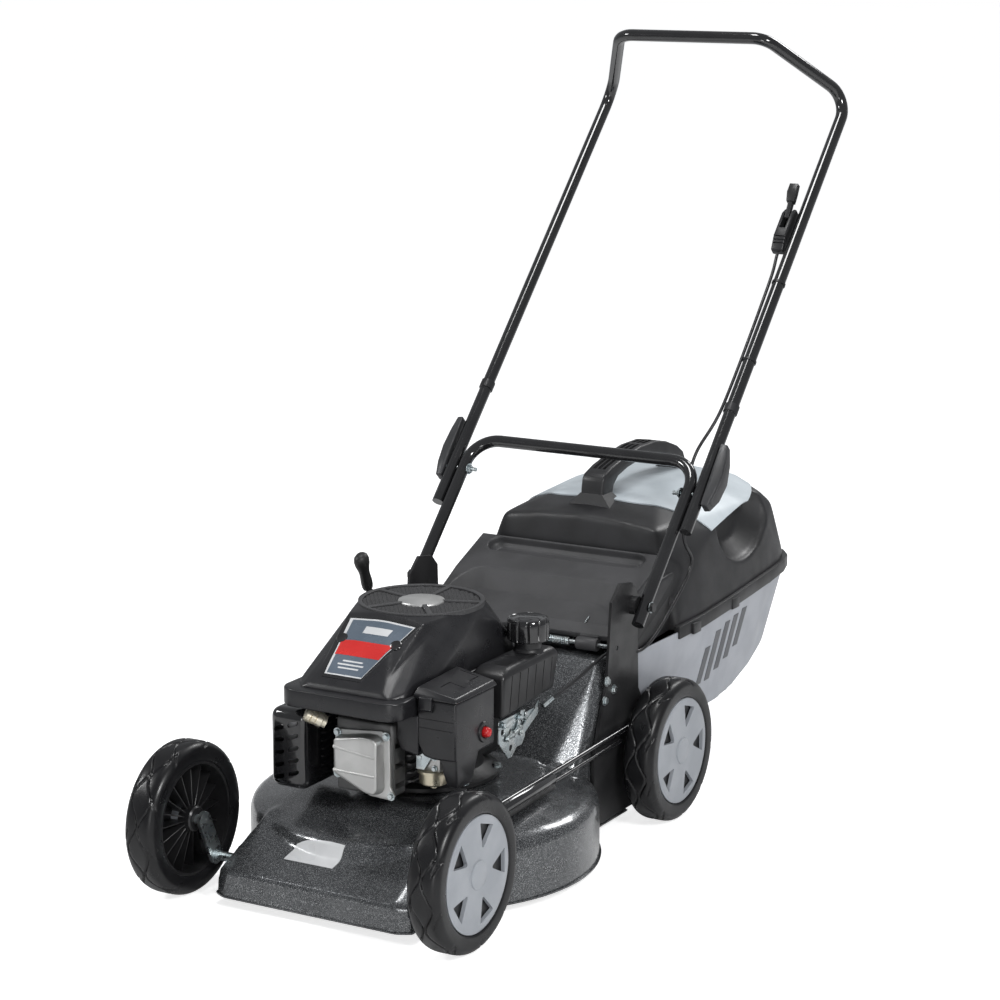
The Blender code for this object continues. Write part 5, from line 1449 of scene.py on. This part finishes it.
top_path = smooth(cable_top, cable_top[0] * 2 - cable_top[1], cable_foot[1])
foot_path = smooth(cable_foot, cable_top[-2], cable_foot[-1] * 2 - cable_foot[-2])
top_cord = pipe("throttle_cord_upper", top_path, CABLE_R, 4)
foot_cord = pipe("throttle_cord_lower", foot_path, CABLE_R, 4)
for cord, bodies, start, end, path in ((top_cord, ("upper_handle", "lower_handle"), on_leg(0,
        0.300), on_leg(0, 0.235), top_path), (foot_cord, ("lower_handle", "chassis"), on_leg(0,
        0.120), at(0, 0.230, 0.333), foot_path)):
    cord.data.materials.append(TANK_BLACK)
    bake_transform(cord)
    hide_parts("throttle_cable")
for n, along in enumerate((0.560, 0.420)):
    strap = stand(turn("cable_strap", [(TUBE_R + 0.0002, -0.002), (TUBE_R + 0.0002, 0.002),
        (TUBE_R + 0.0013, 0.0018), (TUBE_R + 0.0013, -0.0018)], 32), on_leg(UPPER_X, along),
        on_leg(0, 1) - on_leg(0, 0))
    finish(shade(strap, 35), "upper_handle", TANK_BLACK, slot="upper_handle")
ferrule = pipe("cable_ferrule", [at(0.1300, 0.058, 0.2120), at(0.1352, 0.0748, 0.2200)], 0.0036, 6)
finish(ferrule, "chassis", ZINC, slot="throttle_plate")

# ---------------------------------------------------------------- light and camera
SIGHT = Vector((-0.48825957, 0.84679566, -0.21104431))
EYE = at(1.85749797, -3.05319077, 1.26339521)
LENS_OVER_FRAME = 2.75467


def show_room():
    floor_half = 30
    free()
    bpy.ops.mesh.primitive_plane_add(size=floor_half * 2, location=(0, 0, -0.0002))
    floor = bpy.context.object
    floor.name = "pale_floor"
    floor_look = surface("floor_paint", (0.86, 0.86, 0.86), (0.88, 0.88, 0.88), (0.6, 0.7),
        grain=30, depth=0.0)
    shader = floor_look.node_tree.nodes["Principled BSDF"]
    shader.inputs["Emission Color"].default_value = (1, 1, 1, 1)
    seen = floor_look.node_tree.nodes.new("ShaderNodeLightPath")
    glow = floor_look.node_tree.nodes.new("ShaderNodeMath")
    glow.operation = "MULTIPLY"
    glow.inputs[1].default_value = 0.75
    floor_look.node_tree.links.new(seen.outputs["Is Camera Ray"], glow.inputs[0])
    floor_look.node_tree.links.new(glow.outputs[0], shader.inputs["Emission Strength"])
    floor.data.materials.append(floor_look)
    world = bpy.context.scene.world or bpy.data.worlds.new("studio")
    bpy.context.scene.world = world
    world.use_nodes = True
    tree = world.node_tree
    glow = tree.nodes["Background"]
    glow.inputs["Color"].default_value = (0.95, 0.97, 1.0, 1)
    glow.inputs["Strength"].default_value = 0.30
    backdrop = tree.nodes.new("ShaderNodeBackground")
    backdrop.inputs["Color"].default_value = (1, 1, 1, 1)
    route = tree.nodes.new("ShaderNodeLightPath")
    choose = tree.nodes.new("ShaderNodeMixShader")
    tree.links.new(route.outputs["Is Camera Ray"], choose.inputs[0])
    tree.links.new(glow.outputs[0], choose.inputs[1])
    tree.links.new(backdrop.outputs[0], choose.inputs[2])
    tree.links.new(choose.outputs[0], tree.nodes["World Output"].inputs["Surface"])
    lamps = (("key_panel", (2.5, -1.5, 2.1), 0.55, 46), ("left_panel", (-2.2, -1.6, 2.0), 0.55,
        26), ("back_panel", (0.5, 2.6, 2.5), 0.9, 30), ("top_panel", (-0.2, -0.1, 3.0), 0.7, 22),
        ("low_panel", (1.2, -2.6, 0.5), 0.6, 7))
    for label, spot, size, power in lamps:
        data = bpy.data.lights.new(label, "AREA")
        data.size = size
        data.energy = power
        lamp = bpy.data.objects.new(label, data)
        lamp.location = spot
        lamp.rotation_euler = (Vector((0, 0, 0.3)) - Vector(spot)).to_track_quat("-Z",
            "Y").to_euler()
        bpy.context.scene.collection.objects.link(lamp)
    data = bpy.data.cameras.new("view")
    data.sensor_width = 36
    data.lens = LENS_OVER_FRAME * 36
    data.clip_end = 60
    camera = bpy.data.objects.new("view", data)
    camera.location = EYE
    camera.rotation_euler = SIGHT.to_track_quat("-Z", "Y").to_euler()
    bpy.context.scene.collection.objects.link(camera)
    bpy.context.scene.camera = camera
    bpy.context.scene.view_settings.view_transform = "Standard"


show_room()
